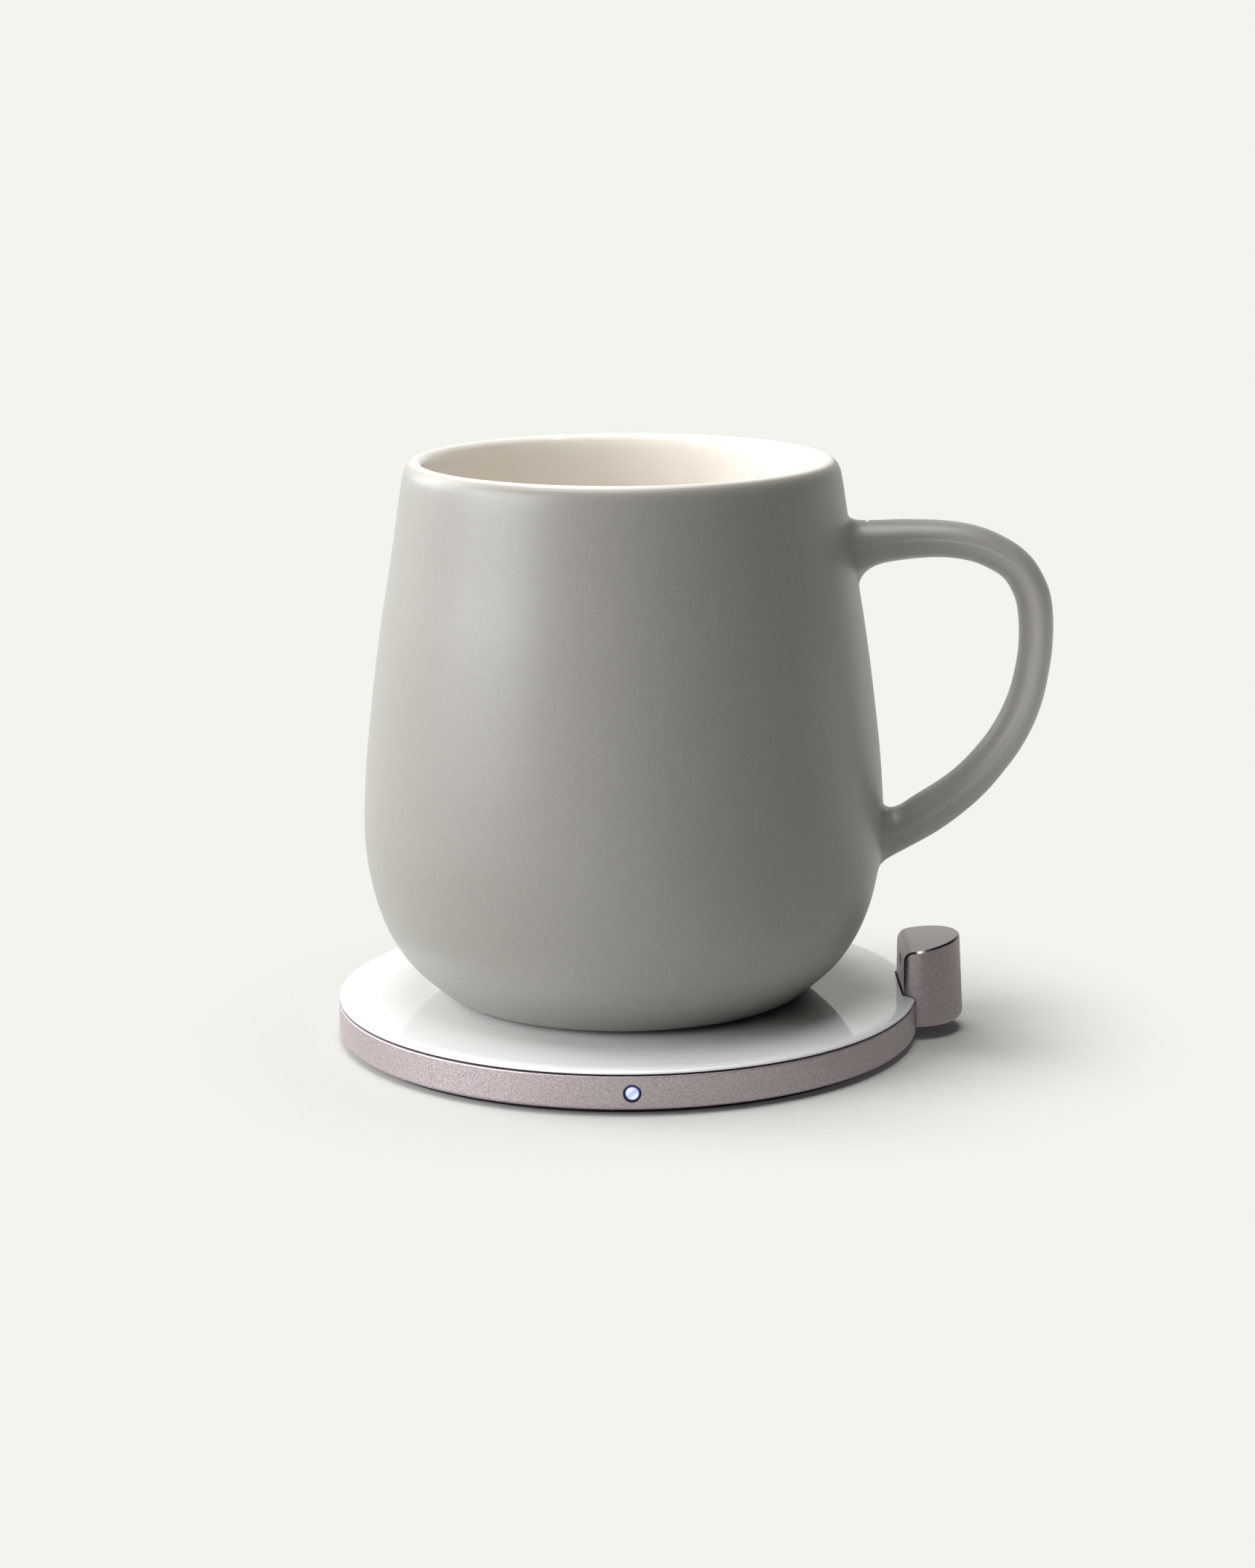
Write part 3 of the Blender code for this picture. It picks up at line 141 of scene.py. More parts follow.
backgroundColour = colour(studio["background"])
world = bpy.data.worlds.new("studioSky")
bpy.context.scene.world = world
world.use_nodes = True
tree = world.node_tree
tree.nodes.clear()
path = addNode(tree, "ShaderNodeLightPath")
seen = addNode(tree, "ShaderNodeMath", operation="MAXIMUM",
               links={0: path.outputs["Is Camera Ray"], 1: path.outputs["Is Glossy Ray"]})
seen = addNode(tree, "ShaderNodeMath", operation="MAXIMUM",
               links={0: seen.outputs[0], 1: path.outputs["Is Transmission Ray"]})
sky = addNode(tree, "ShaderNodeBackground",
              {"Color": colour(studio["skyTone"]), "Strength": studio["skyLevel"]})
# What gloss reflects is the white backdrop, which is darker overhead and at the right
direction = addNode(tree, "ShaderNodeTexCoord").outputs["Generated"]
side = addNode(tree, "ShaderNodeVectorMath", {1: studio["darkSide"]}, {0: direction},
               operation="DOT_PRODUCT")
low, high = studio["darkSpan"]
level = addNode(tree, "ShaderNodeMapRange", {1: low, 2: high, 3: 1.0, 4: studio["darkLevel"]},
                {0: side.outputs["Value"]}, interpolation_type="SMOOTHSTEP")
level = addNode(tree, "ShaderNodeMath", operation="MAXIMUM",
                links={0: level.outputs[0], 1: path.outputs["Is Camera Ray"]})
backdrop = addNode(tree, "ShaderNodeBackground", {"Color": backgroundColour},
                   {"Strength": level.outputs[0]})
mixed = addNode(tree, "ShaderNodeMixShader",
                links={0: seen.outputs[0], 1: sky.outputs[0], 2: backdrop.outputs[0]})
addNode(tree, "ShaderNodeOutputWorld", links={"Surface": mixed.outputs[0]})

bpy.ops.mesh.primitive_plane_add(size=2 * studio["floorReach"], location=(0, 0, -studio["floorDrop"]))
floor = bpy.context.active_object
floor.name = "studioFloor"
# Matt white tabletop: takes the shadow near the object and turns into the plain background further off
paper = bpy.data.materials.new("mattWhitePaper")
paper.use_nodes = True
tree = paper.node_tree
tree.nodes.clear()
place = addNode(tree, "ShaderNodeTexCoord").outputs["Object"]
shifted = addNode(tree, "ShaderNodeMapping", {"Location": studio["fadeShift"]}, {"Vector": place})
distance = addNode(tree, "ShaderNodeVectorMath", operation="LENGTH", links={0: shifted.outputs[0]})
parts = addNode(tree, "ShaderNodeSeparateXYZ", links={0: place})
path = addNode(tree, "ShaderNodeLightPath")
seen = addNode(tree, "ShaderNodeMath", operation="MAXIMUM",
               links={0: path.outputs["Is Camera Ray"], 1: path.outputs["Is Glossy Ray"]})
low, high = studio["fadeSpan"]
fade = addNode(tree, "ShaderNodeMapRange", {1: low, 2: high},
               {0: distance.outputs["Value"], 4: seen.outputs[0]}, interpolation_type="SMOOTHSTEP")
# Painted shade: the paper is coloured a little greyer towards the key lamp, where it would burn out
low, high = studio["toneSpan"]
awayFromKey = addNode(tree, "ShaderNodeMapRange", {1: low, 2: high}, {0: parts.outputs[0]})
grey, white = studio["floorPaintedShadeTones"]
tone = addNode(tree, "ShaderNodeMix", {6: colour(grey), 7: colour(white)},
               {0: awayFromKey.outputs[0]}, data_type="RGBA")
matt = addNode(tree, "ShaderNodeBsdfDiffuse", links={"Color": tone.outputs[2]})
fill = addNode(tree, "ShaderNodeEmission", {"Color": backgroundColour, "Strength": studio["floorFill"]})
near = addNode(tree, "ShaderNodeAddShader", links={0: matt.outputs[0], 1: fill.outputs[0]})
far = addNode(tree, "ShaderNodeEmission", {"Color": backgroundColour, "Strength": 1.0})
mixed = addNode(tree, "ShaderNodeMixShader",
                links={0: fade.outputs[0], 1: near.outputs[0], 2: far.outputs[0]})
# Painted reflection: for gloss rays the paper turns into a dim plain glow in front of the disc's right
# side, so that the metal reflects it darker there
low, high = studio["dimFromLeft"]
across = addNode(tree, "ShaderNodeMapRange", {1: low, 2: high},
                 {0: parts.outputs[0], 4: path.outputs["Is Glossy Ray"]}, interpolation_type="SMOOTHSTEP")
low, high = studio["dimToBack"]
dim = addNode(tree, "ShaderNodeMapRange", {1: low, 2: high, 4: 0.0},
              {0: parts.outputs[1], 3: across.outputs[0]}, interpolation_type="SMOOTHSTEP")
shade = addNode(tree, "ShaderNodeEmission", {"Color": backgroundColour, "Strength": studio["dimLevel"]})
mixed = addNode(tree, "ShaderNodeMixShader",
                links={0: dim.outputs[0], 1: mixed.outputs[0], 2: shade.outputs[0]})
addNode(tree, "ShaderNodeOutputMaterial", links={"Surface": mixed.outputs[0]})
floor.data.materials.append(paper)
print("studio ready")


# Materials. Patterns read Object coordinates, which are metres on the part: a scale is 1000 / size in mm

def newMaterial(name, **shaderValues):
    # A material with its Principled shader's plain values, and its Object coordinates
    material = bpy.data.materials.new(name)
    material.use_nodes = True
    shader = material.node_tree.nodes["Principled BSDF"]
    for socket, value in shaderValues.items():
        shader.inputs[socket.replace("_", " ")].default_value = value
    place = addNode(material.node_tree, "ShaderNodeTexCoord").outputs["Object"]
    return material, material.node_tree, shader, place


def dress(tree, shader, pattern, dark, light, rough=None, relief=0.0, spread=(0.3, 0.7),
          socket="Base Color"):
    # One pattern gives a finish its two tones, its roughness between two limits and its relief in mm
    ramp = addNode(tree, "ShaderNodeValToRGB", links={0: pattern}, feeds=shader.inputs[socket])
    for stop, position, tone in zip(ramp.color_ramp.elements, spread, (dark, light)):
        stop.position, stop.color = position, colour(tone)
    if rough:
        addNode(tree, "ShaderNodeMapRange", {1: 0.3, 2: 0.7, 3: rough[0], 4: rough[1]}, {0: pattern},
                shader.inputs["Roughness"])
    if relief:
        addNode(tree, "ShaderNodeBump", {"Strength": 1.0, "Distance": relief * mm}, {"Height": pattern},
                shader.inputs["Normal"])
    return ramp.outputs[0]


def grained(name, size, detail, dark, light, rough=None, relief=0.0, spread=(0.3, 0.7), **shaderValues):
    # A finish that is all one soft grain, of a size in mm
    material, tree, shader, place = newMaterial(name, **shaderValues)
    grain = addNode(tree, "ShaderNodeTexNoise", {"Scale": 1000 / size, "Detail": detail}, {"Vector": place})
    dress(tree, shader, grain.outputs[0], dark, light, rough, relief, spread)
    return material


# Stoneware with a satin grey glaze: soft broad sheen, faint mottling and a few iron specks
greyGlaze, tree, shader, place = newMaterial("satinGreyGlaze", IOR=1.5)
mottling = addNode(tree, "ShaderNodeTexNoise", {"Scale": 1000 / 0.4, "Detail": 4.0}, {"Vector": place})
mottled = dress(tree, shader, mottling.outputs[0], "#93908B", "#9A9792", relief=0.012)
parts = addNode(tree, "ShaderNodeSeparateXYZ", links={0: place})
cells = addNode(tree, "ShaderNodeTexVoronoi", {"Scale": 1000 / 5.0}, {"Vector": place})
speckPick = addNode(tree, "ShaderNodeSeparateColor", links={0: cells.outputs["Color"]})
speckSize = addNode(tree, "ShaderNodeMapRange", {1: 0.72, 2: 1.0, 3: 0.0, 4: 0.05},
                    {0: speckPick.outputs[0]})
speckGap = addNode(tree, "ShaderNodeMath", operation="SUBTRACT",
                   links={0: speckSize.outputs[0], 1: cells.outputs["Distance"]})
speck = addNode(tree, "ShaderNodeMapRange", {1: 0.0, 2: 0.012, 3: 0.0, 4: 0.6}, {0: speckGap.outputs[0]})
specked = addNode(tree, "ShaderNodeMix", {7: colour("#55504A")},
                  {0: speck.outputs[0], 6: mottled}, data_type="RGBA")
# The white glaze of the inside runs over the lip and ends just outside it, with a warm thin edge
edgeTone = addNode(tree, "ShaderNodeMapRange", {1: 98.5 * mm, 2: 99.2 * mm, 3: 0.0, 4: 0.45},
                   {0: parts.outputs[2]}, interpolation_type="SMOOTHSTEP")
warmed = addNode(tree, "ShaderNodeMix", {7: colour("#BFB3A4")},
                 {0: edgeTone.outputs[0], 6: specked.outputs[2]}, data_type="RGBA")
lipTone = addNode(tree, "ShaderNodeMapRange", {1: 99.1 * mm, 2: 99.6 * mm}, {0: parts.outputs[2]},
                  interpolation_type="SMOOTHSTEP")
lipped = addNode(tree, "ShaderNodeMix", {7: colour("#F0EBE2")},
                 {0: lipTone.outputs[0], 6: warmed.outputs[2]}, data_type="RGBA")
tree.links.new(lipped.outputs[2], shader.inputs["Base Color"])
satin = addNode(tree, "ShaderNodeMapRange", {1: 0.3, 2: 0.7, 3: 0.34, 4: 0.4}, {0: mottling.outputs[0]})
addNode(tree, "ShaderNodeMix", {3: 0.1}, {0: lipTone.outputs[0], 2: satin.outputs[0]},
        shader.inputs["Roughness"])

# The same body's white inside: clear gloss over a warm white, with the slight waves of a poured glaze
whiteGlaze = grained("glossWhiteGlaze", 14.0, 2.0, "#F9F3E9", "#FCF8F0", (0.05, 0.09), 0.05, IOR=1.52)

# The foot ring that the mug stands on is wiped free of glaze: dry, sandy fired clay
bareClay = grained("bareFiredClay", 0.4, 6.0, "#B9AFA2", "#CFC6BA", relief=0.03, Roughness=0.85)

# Toughened glass, printed white underneath: mirror-smooth top and polished edge; the edge is coloured
# whiter, a painted highlight that lifts the shade on its rounding and side
whiteGlass, tree, shader, place = newMaterial("whiteBackedGlass", Roughness=0.01, IOR=1.52)
depthTone = addNode(tree, "ShaderNodeTexNoise", {"Scale": 1000 / 30.0, "Detail": 1.0}, {"Vector": place})
printed = dress(tree, shader, depthTone.outputs[0], "#EDEEEC", "#F0F1EF")
parts = addNode(tree, "ShaderNodeSeparateXYZ", links={0: place})
flatPlace = addNode(tree, "ShaderNodeCombineXYZ", links={0: parts.outputs[0], 1: parts.outputs[1]})
distance = addNode(tree, "ShaderNodeVectorMath", operation="LENGTH", links={0: flatPlace.outputs[0]})
# Painted highlight: towards the outer edge the colour is mixed to pure white, to lift the edge's shade
edge = addNode(tree, "ShaderNodeMapRange", {1: 49.2 * mm, 2: 49.6 * mm},
               {0: distance.outputs["Value"]}, interpolation_type="SMOOTHSTEP")
paintedEdgeLight = addNode(tree, "ShaderNodeMix", {7: colour("#FFFFFF")}, {0: edge.outputs[0], 6: printed},
                 data_type="RGBA")
tree.links.new(paintedEdgeLight.outputs[2], shader.inputs["Base Color"])

# Bead-blasted aluminium, anodised mauve grey: a soft metal sheen broken up by fine grain
# The real grain is about 0.1 mm, and is drawn at 0.22 mm so that it shows
anodised = grained("anodisedAluminium", 0.22, 1.0, "#9B9093", "#D2C6C9", (0.4, 0.52), 0.012, (0.25, 0.75),
                   Metallic=0.9)

# The same alloy, finer blasted, on the tower's top and flat face
fineAnodised = grained("fineAnodisedAluminium", 0.2, 1.0, "#A29A9B", "#AFA7A8", (0.39, 0.46), 0.004,
                       Metallic=0.85)

# The same alloy where the chamfer is cut after blasting: nearly polished
polishedAnodised = grained("polishedAnodisedAluminium", 0.3, 2.0, "#7A7274", "#857D7F", (0.13, 0.2),
                           Metallic=1.0)

# Dispensed black silicone, as a gasket line and as the foot pad: matt, rubbery
blackSilicone = grained("blackSilicone", 0.5, 4.0, "#0E0D0C", "#171615", (0.68, 0.82), 0.01)

# Cast pale silicone, as the mug's cover and the sensor's post: soft matt, a little light goes in
paleSilicone = grained("paleSilicone", 0.7, 4.0, "#B9B8B5", "#C4C3C0", (0.62, 0.76), 0.01,
                       Subsurface_Weight=0.1, Subsurface_Scale=0.001)

# Moulded black polycarbonate with a fine spark-eroded texture: even, half matt
blackPlastic = grained("mouldedBlackPolycarbonate", 0.25, 3.0, "#121213", "#1B1B1D", (0.44, 0.6), 0.008)

# Moulded white ABS: a smooth, slightly waxy sheen
whitePlastic = grained("mouldedWhiteAbs", 0.4, 3.0, "#DEDEDA", "#E8E8E5", (0.4, 0.52), 0.006)

# Milky polycarbonate lens, lit from behind: a bluer band crosses it, and its rim is deep blue
litLens, tree, shader, place = newMaterial("litPolycarbonateLens", Roughness=0.12, Emission_Strength=1.0)
lensMiddle = 3.8 * mm  # its height above the table
centred = addNode(tree, "ShaderNodeMapping", {"Location": (0.0, 0.0, -lensMiddle)}, {"Vector": place})
parts = addNode(tree, "ShaderNodeSeparateXYZ", links={0: centred.outputs[0]})
flatPlace = addNode(tree, "ShaderNodeCombineXYZ", links={0: parts.outputs[0], 1: parts.outputs[2]})
distance = addNode(tree, "ShaderNodeVectorMath", operation="LENGTH", links={0: flatPlace.outputs[0]})
diagonal = addNode(tree, "ShaderNodeVectorMath", {1: (-0.64, 0.0, 0.77)}, {0: centred.outputs[0]},
                   operation="DOT_PRODUCT")
offBand = addNode(tree, "ShaderNodeMath", links={0: diagonal.outputs["Value"]}, operation="ABSOLUTE")
bandTone = addNode(tree, "ShaderNodeMapRange", {1: 0.0, 2: 0.9 * mm}, {0: offBand.outputs[0]})
cloud = addNode(tree, "ShaderNodeTexNoise", {"Scale": 1000 / 0.7, "Detail": 2.0}, {"Vector": place})
blurred = addNode(tree, "ShaderNodeMath", {1: 0.25}, {0: cloud.outputs[0]}, operation="MULTIPLY")
blended = addNode(tree, "ShaderNodeMath", operation="ADD",
                  links={0: bandTone.outputs[0], 1: blurred.outputs[0]})
glow = dress(tree, shader, blended.outputs[0], "#A9B8F8", "#EDF1FF", spread=(0.05, 0.9),
             socket="Emission Color")
rimTone = addNode(tree, "ShaderNodeMapRange", {1: 0.9 * mm, 2: 1.12 * mm}, {0: distance.outputs["Value"]},
                  interpolation_type="SMOOTHSTEP")
rimmed = addNode(tree, "ShaderNodeMix", {7: colour("#3F4AA8")}, {0: rimTone.outputs[0], 6: glow},
                 data_type="RGBA")
tree.links.new(rimmed.outputs[2], shader.inputs["Emission Color"])
shader.inputs["Base Color"].default_value = colour("#3A4068")

# Smoked glass of the sensor's window: near black, polished
smokedGlass = grained("smokedGlass", 2.0, 3.0, "#0A0A0D", "#111116", Roughness=0.06, IOR=1.5)

# Glass-epoxy circuit board with green solder resist over copper tracks: the tracks show as paler lines
greenBoard, tree, shader, place = newMaterial("greenCircuitBoard")
tracks = addNode(tree, "ShaderNodeTexBrick",
                 {"Color1": colour("#0E4A2A"), "Color2": colour("#125532"), "Mortar": colour("#1C7040"),
                  "Scale": 1000 / 6.0, "Mortar Size": 0.04, "Brick Width": 0.5, "Row Height": 0.2},
                 {"Vector": place}, shader.inputs["Base Color"])
weave = addNode(tree, "ShaderNodeTexNoise", {"Scale": 1000 / 0.3}, {"Vector": place})
addNode(tree, "ShaderNodeMapRange", {1: 0.3, 2: 0.7, 3: 0.34, 4: 0.46}, {0: weave.outputs[0]},
        shader.inputs["Roughness"])
addNode(tree, "ShaderNodeBump", {"Strength": 1.0, "Distance": 0.02 * mm}, {"Height": tracks.outputs[1]},
        shader.inputs["Normal"])

# Moulded epoxy of the chips: dull black with fine silica filler
blackEpoxy = grained("mouldedEpoxy", 0.12, 2.0, "#171717", "#242424", (0.52, 0.68))

# Enamelled copper litz, drawn as one round wire whose strands wind at a slant
copperWire, tree, shader, place = newMaterial("enamelledCopper", Metallic=1.0)
strands = addNode(tree, "ShaderNodeTexWave", {"Scale": 1000 / 1.6, "Distortion": 2.0},
                  {"Vector": place}, bands_direction="DIAGONAL")
dress(tree, shader, strands.outputs[1], "#A85A34", "#D98E5F", (0.24, 0.38), 0.04, (0.0, 1.0))

# Nickel-plated steel of the inlet's shell and the terminals: bright, drawn
brightTin = grained("nickelPlatedSteel", 0.4, 4.0, "#BDBDBB", "#D6D5D1", (0.18, 0.34), spread=(0.0, 1.0),
                    Metallic=1.0)

# Zinc-plated steel of the screws: cold grey, slightly clouded
zincSteel = grained("zincPlatedSteel", 0.5, 4.0, "#A9ABAE", "#C6C8CB", (0.26, 0.42), Metallic=1.0)

# Sintered ferrite: dark, dense, slightly sparkling
ferriteTile = grained("sinteredFerrite", 0.15, 4.0, "#242427", "#38383C", (0.42, 0.66))

# Fired ceramic of the capacitors: dull tan with a fine grain
tanCeramic = grained("tanCeramic", 0.2, 3.0, "#9A7B56", "#B08F67", (0.42, 0.58))

# Fired silver film under the mug's floor: pale metal, cloudy from the firing
silverFilm = grained("firedSilverFilm", 1.2, 5.0, "#B5B4AE", "#CFCEC8", (0.32, 0.5), 0.01, Metallic=1.0)

# Polyimide ribbon: glossy amber with etched lines along it
amberFilm, tree, shader, place = newMaterial("polyimideFilm")
lines = addNode(tree, "ShaderNodeTexWave", {"Scale": 1000 / 3.0}, {"Vector": place}, bands_direction="Y")
dress(tree, shader, lines.outputs[1], "#8A4B12", "#B87328", (0.22, 0.34), spread=(0.0, 1.0))
print("materials ready")


# Modelling helpers

def pickOnly(piece):
    bpy.ops.object.select_all(action="DESELECT")
    piece.select_set(True)
    bpy.context.view_layer.objects.active = piece


def selectWhere(piece, kind, test):
    # In edit mode, selects just the vertices, edges or faces that pass the test
    bpy.ops.mesh.select_mode(type={"verts": "VERT", "edges": "EDGE", "faces": "FACE"}[kind])
    bpy.ops.mesh.select_all(action="DESELECT")
    mesh = bmesh.from_edit_mesh(piece.data)
    found = [item for item in getattr(mesh, kind) if test(item)]
    for item in found:
        item.select_set(True)
    bmesh.update_edit_mesh(piece.data)
    return len(found)


def turnPiece(name, rows, steps, centre=(0.0, 0.0), closed=False):
    # Rows are (radius, height) in mm: a circle, and then each row is extruded from the last and scaled
    bpy.ops.object.select_all(action="DESELECT")
    rows = [(radius * mm, height * mm) for radius, height in rows]
    x, y = centre[0] * mm, centre[1] * mm
    capped = rows[0][0] == 0
    radius, height = rows[1] if capped else rows[0]
    bpy.ops.mesh.primitive_circle_add(
        vertices=steps, radius=radius, fill_type="TRIFAN" if capped else "NOTHING", location=(x, y, height)
    )
    piece = bpy.context.active_object
    piece.name = piece.data.name = name
    bpy.ops.object.transform_apply(location=True, rotation=True, scale=True)
    bpy.ops.object.mode_set(mode="EDIT")
    bpy.ops.mesh.select_mode(type="EDGE")
    bpy.ops.mesh.select_all(action="SELECT")
    if capped:
        bpy.ops.mesh.region_to_loop()
    for nextRadius, nextHeight in rows[2 if capped else 1:]:
        bpy.ops.mesh.extrude_region_move(TRANSFORM_OT_translate={"value": (0, 0, nextHeight - height)})
        if nextRadius == 0:
            bpy.ops.mesh.merge(type="CENTER")
        elif nextRadius != radius:
            share = nextRadius / radius
            bpy.ops.transform.resize(value=(share, share, 1), center_override=(x, y, nextHeight))
        radius, height = nextRadius, nextHeight
    if closed:
        bpy.ops.mesh.select_all(action="DESELECT")
        bpy.ops.mesh.select_non_manifold()
        bpy.ops.mesh.bridge_edge_loops()
    bpy.ops.mesh.select_all(action="SELECT")
    bpy.ops.mesh.normals_make_consistent(inside=False)
    bpy.ops.object.mode_set(mode="OBJECT")
    return piece


def applyModifier(piece, kind, **settings):
    pickOnly(piece)
    modifier = piece.modifiers.new(kind.lower(), kind)
    for name, value in settings.items():
        setattr(modifier, name, value)
    bpy.ops.object.modifier_apply(modifier=modifier.name)


def cutAway(piece, *cutters):
    # Cuts each shape out of the piece, and removes it
    for cutter in cutters:
        applyModifier(piece, "BOOLEAN", operation="DIFFERENCE", solver="EXACT", object=cutter)
        bpy.data.objects.remove(cutter, do_unlink=True)


def towardFront(piece, height):
    # Turns a piece that was made upright so that it points to the front, at a height in mm
    pickOnly(piece)
    piece.rotation_euler.x = math.radians(90)
    piece.location.z += height * mm
    bpy.ops.object.transform_apply(location=True, rotation=True, scale=True)


def giveFinishes(piece, *finishes):
    piece.data.materials.clear()
    for finish in finishes:
        piece.data.materials.append(finish)


def finishPiece(piece, body, finish, replaced, angle=None):
    # Shades the piece, gives it its finish if it has just one, and puts it on its body for its CAD nodes
    pickOnly(piece)
    if finish is not None:
        giveFinishes(piece, finish)
    if angle is None:
        bpy.ops.object.shade_smooth()
    else:
        bpy.ops.object.shade_smooth_by_angle(angle=math.radians(angle))
    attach(piece, body)
    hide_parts(*replaced)
    print(piece.name, "ready with", len(piece.data.polygons), "faces")


# Mug: a cage of a few thousand faces, whose handle is bridged into its wall, then subdivided

mugBody = {
    "columns": 80,
    "centre": (-0.5, 0.0),
    "level": 7.75,  # the foot's height above the table, in mm
    # (radius, height) above the foot, from the recess underneath round the foot ring
    "foot": [
        (0, 3.15), (12, 3.15), (23.6, 3.15), (25.0, 3.15), (25.2, 3.12), (25.22, 2.9), (25.2, 1.6),
        (25.2, 0.7), (25.3, 0.22), (25.75, 0), (26.8, 0), (27.8, 0), (28.4, 0.02), (29.3, 0.26),
        (30.4, 0.62),
    ],
    "wall": [
        (31.75, 1.12), (33.28, 2.49), (35.12, 4.12), (37.42, 6.23), (39.23, 8.75), (40.81, 11.55),
        (42.04, 14.63), (42.95, 17.51), (43.57, 20.32), (44.12, 23.63), (44.43, 26.78), (44.51, 30.06),
        (44.43, 32.98), (44.18, 37.2), (43.86, 41.4), (43.43, 45.6), (42.94, 49.78), (42.42, 54.06),
        (41.9, 57.97), (41.32, 62.05), (40.75, 65.82), (40.12, 69.48), (39.56, 72.68), (38.99, 76.02),
        (38.49, 79.26), (37.96, 82.76), (37.58, 85.3), (37.29, 87.25),
    ],
    "lip": [
        (37.01, 88.9), (36.78, 89.93), (36.43, 90.77), (35.83, 91.5), (34.97, 91.94), (34.2, 91.82),
        (33.62, 91.26), (33.42, 90.35), (33.44, 89.15),
    ],
    "inside": [
        (33.73, 87.07), (34.03, 84.59), (34.41, 81.57), (34.82, 78.11), (35.41, 73.97), (36.13, 70.01),
        (36.82, 66), (37.43, 62), (38, 58), (38.53, 54), (39.01, 50), (39.48, 46), (39.9, 42), (40.22, 38),
        (40.48, 33.99), (40.63, 30.03), (40.48, 25.87), (40.03, 22.48), (39.43, 18.62), (38.42, 16.44),
        (37.29, 13.87), (35.29, 12), (32.96, 10.58), (30.41, 9.77), (27.59, 9.21), (25.3, 9), (20, 9),
        (13, 9), (6, 9), (0, 9),
    ],
    "roots": [(69.48, 82.76), (20.32, 32.98)],  # the handle's openings, from row to row
    "rootColumns": 2,  # on each side of the middle
    "rootInset": 1.3,
    "patchShare": 0.84,  # how far an opening's corners draw in before the inset, and after it
    "cornerShare": 0.87,
    "rootSplit": 50.0,  # height above the table between the two roots
    # Where the white glaze is: inwards of the lip's crest, inside the wall and above the floor
    "crest": 34.94,
    "whiteReach": 41.5,
    "whiteFrom": 16.0,
    "handleFrom": 41.0,  # x from which the handle is all there is, and that is grey
    "bareRing": (25.2, 29.0),  # radii of the bare foot ring
    "bareHeight": 0.3,
}
handle = {
    "sides": 16,
    # Centre line from the upper root to the lower one: (x, height, thickness, width), and at the roots
    # also the degrees above the horizon that the ring faces
    "stations": [
        (39.8, 76.69, 9.0, 9.7, 9.2), (41.55, 77.17, 8.0, 9.5, 8.1), (43.6, 77.47, 7.34, 9.35, 4.8),
        (45.57, 77.66, 7.15, 9.48), (48.08, 77.83, 6.8, 9.28), (50.6, 77.88, 6.56, 9.22),
        (53.11, 77.87, 6.39, 9.23), (55.62, 77.65, 6.28, 9.23), (58.1, 77.23, 6.2, 9.23),
        (60.53, 76.51, 6.14, 9.23), (62.79, 75.42, 6.09, 9.23), (64.99, 74.17, 6.06, 9.23),
        (66.85, 72.44, 6.06, 9.23), (68.13, 70.27, 6.09, 9.23), (69.17, 67.96, 6.1, 9.23),
        (69.57, 65.46, 6.05, 9.23), (69.76, 62.96, 5.96, 9.23), (69.75, 60.44, 5.86, 9.23),
        (69.62, 57.93, 5.83, 9.23), (69.23, 55.44, 5.85, 9.23), (68.8, 52.96, 5.92, 9.23),
        (68.2, 50.52, 6.02, 9.23), (67.36, 48.14, 6.11, 9.23), (66.34, 45.84, 6.19, 9.23),
        (65.13, 43.63, 6.24, 9.23), (63.74, 41.53, 6.29, 9.23), (62.18, 39.56, 6.36, 9.23),
        (60.58, 37.62, 6.53, 9.23), (58.84, 35.8, 6.72, 9.24), (56.94, 34.14, 6.89, 9.3),
        (54.95, 32.61, 7.11, 9.38), (52.87, 31.19, 7.34, 9.5), (50.75, 29.84, 7.49, 9.45),
        (48.6, 28.55, 7.62, 9.5, 190.9), (46.7, 27.48, 8.37, 9.6, 177.2), (44.9, 26.7, 8.85, 9.8, 176.0),
    ],
}

rows = mugBody["foot"] + mugBody["wall"] + mugBody["lip"] + mugBody["inside"]
rows = [(radius, height + mugBody["level"]) for radius, height in rows]
mug = turnPiece("mugBody", rows, mugBody["columns"], mugBody["centre"])

# The handle's first ring stands across its path, and each next one is extruded, turned and scaled
stations = handle["stations"]
tilts = []
for i, station in enumerate(stations):
    if len(station) == 5:
        tilts.append(station[4])
    else:
        before, after = stations[i - 1], stations[i + 1]
        tilts.append(math.degrees(math.atan2(after[1] - before[1], after[0] - before[0])))
x, height, thickness, width = stations[0][:4]
bpy.ops.object.select_all(action="DESELECT")
bpy.ops.mesh.primitive_circle_add(
    vertices=handle["sides"], radius=0.5 * mm, fill_type="NOTHING",
    location=(x * mm, 0, (height + mugBody["level"]) * mm), rotation=(0, math.radians(90 - tilts[0]), 0),
)
handlePiece = bpy.context.active_object
handlePiece.name = "mugHandle"
handlePiece.scale = (thickness, width, 1)
bpy.ops.object.transform_apply(location=True, rotation=True, scale=True)
bpy.ops.object.mode_set(mode="EDIT")
bpy.ops.mesh.select_mode(type="EDGE")
bpy.ops.mesh.select_all(action="SELECT")
for i in range(1, len(stations)):
    x, height, thickness, width = stations[i - 1][:4]
    nextX, nextHeight, nextThickness, nextWidth = stations[i][:4]
    centre = (nextX * mm, 0, (nextHeight + mugBody["level"]) * mm)
    bpy.ops.mesh.extrude_region_move(
        TRANSFORM_OT_translate={"value": ((nextX - x) * mm, 0, (nextHeight - height) * mm)}
    )
    turn = (tilts[i - 1] - tilts[i] + 180) % 360 - 180
    bpy.ops.transform.rotate(value=math.radians(-turn), orient_axis="Y", center_override=centre)
    grow = nextThickness / thickness
    bpy.ops.transform.resize(value=(grow, nextWidth / width, grow), center_override=centre)
bpy.ops.object.mode_set(mode="OBJECT")

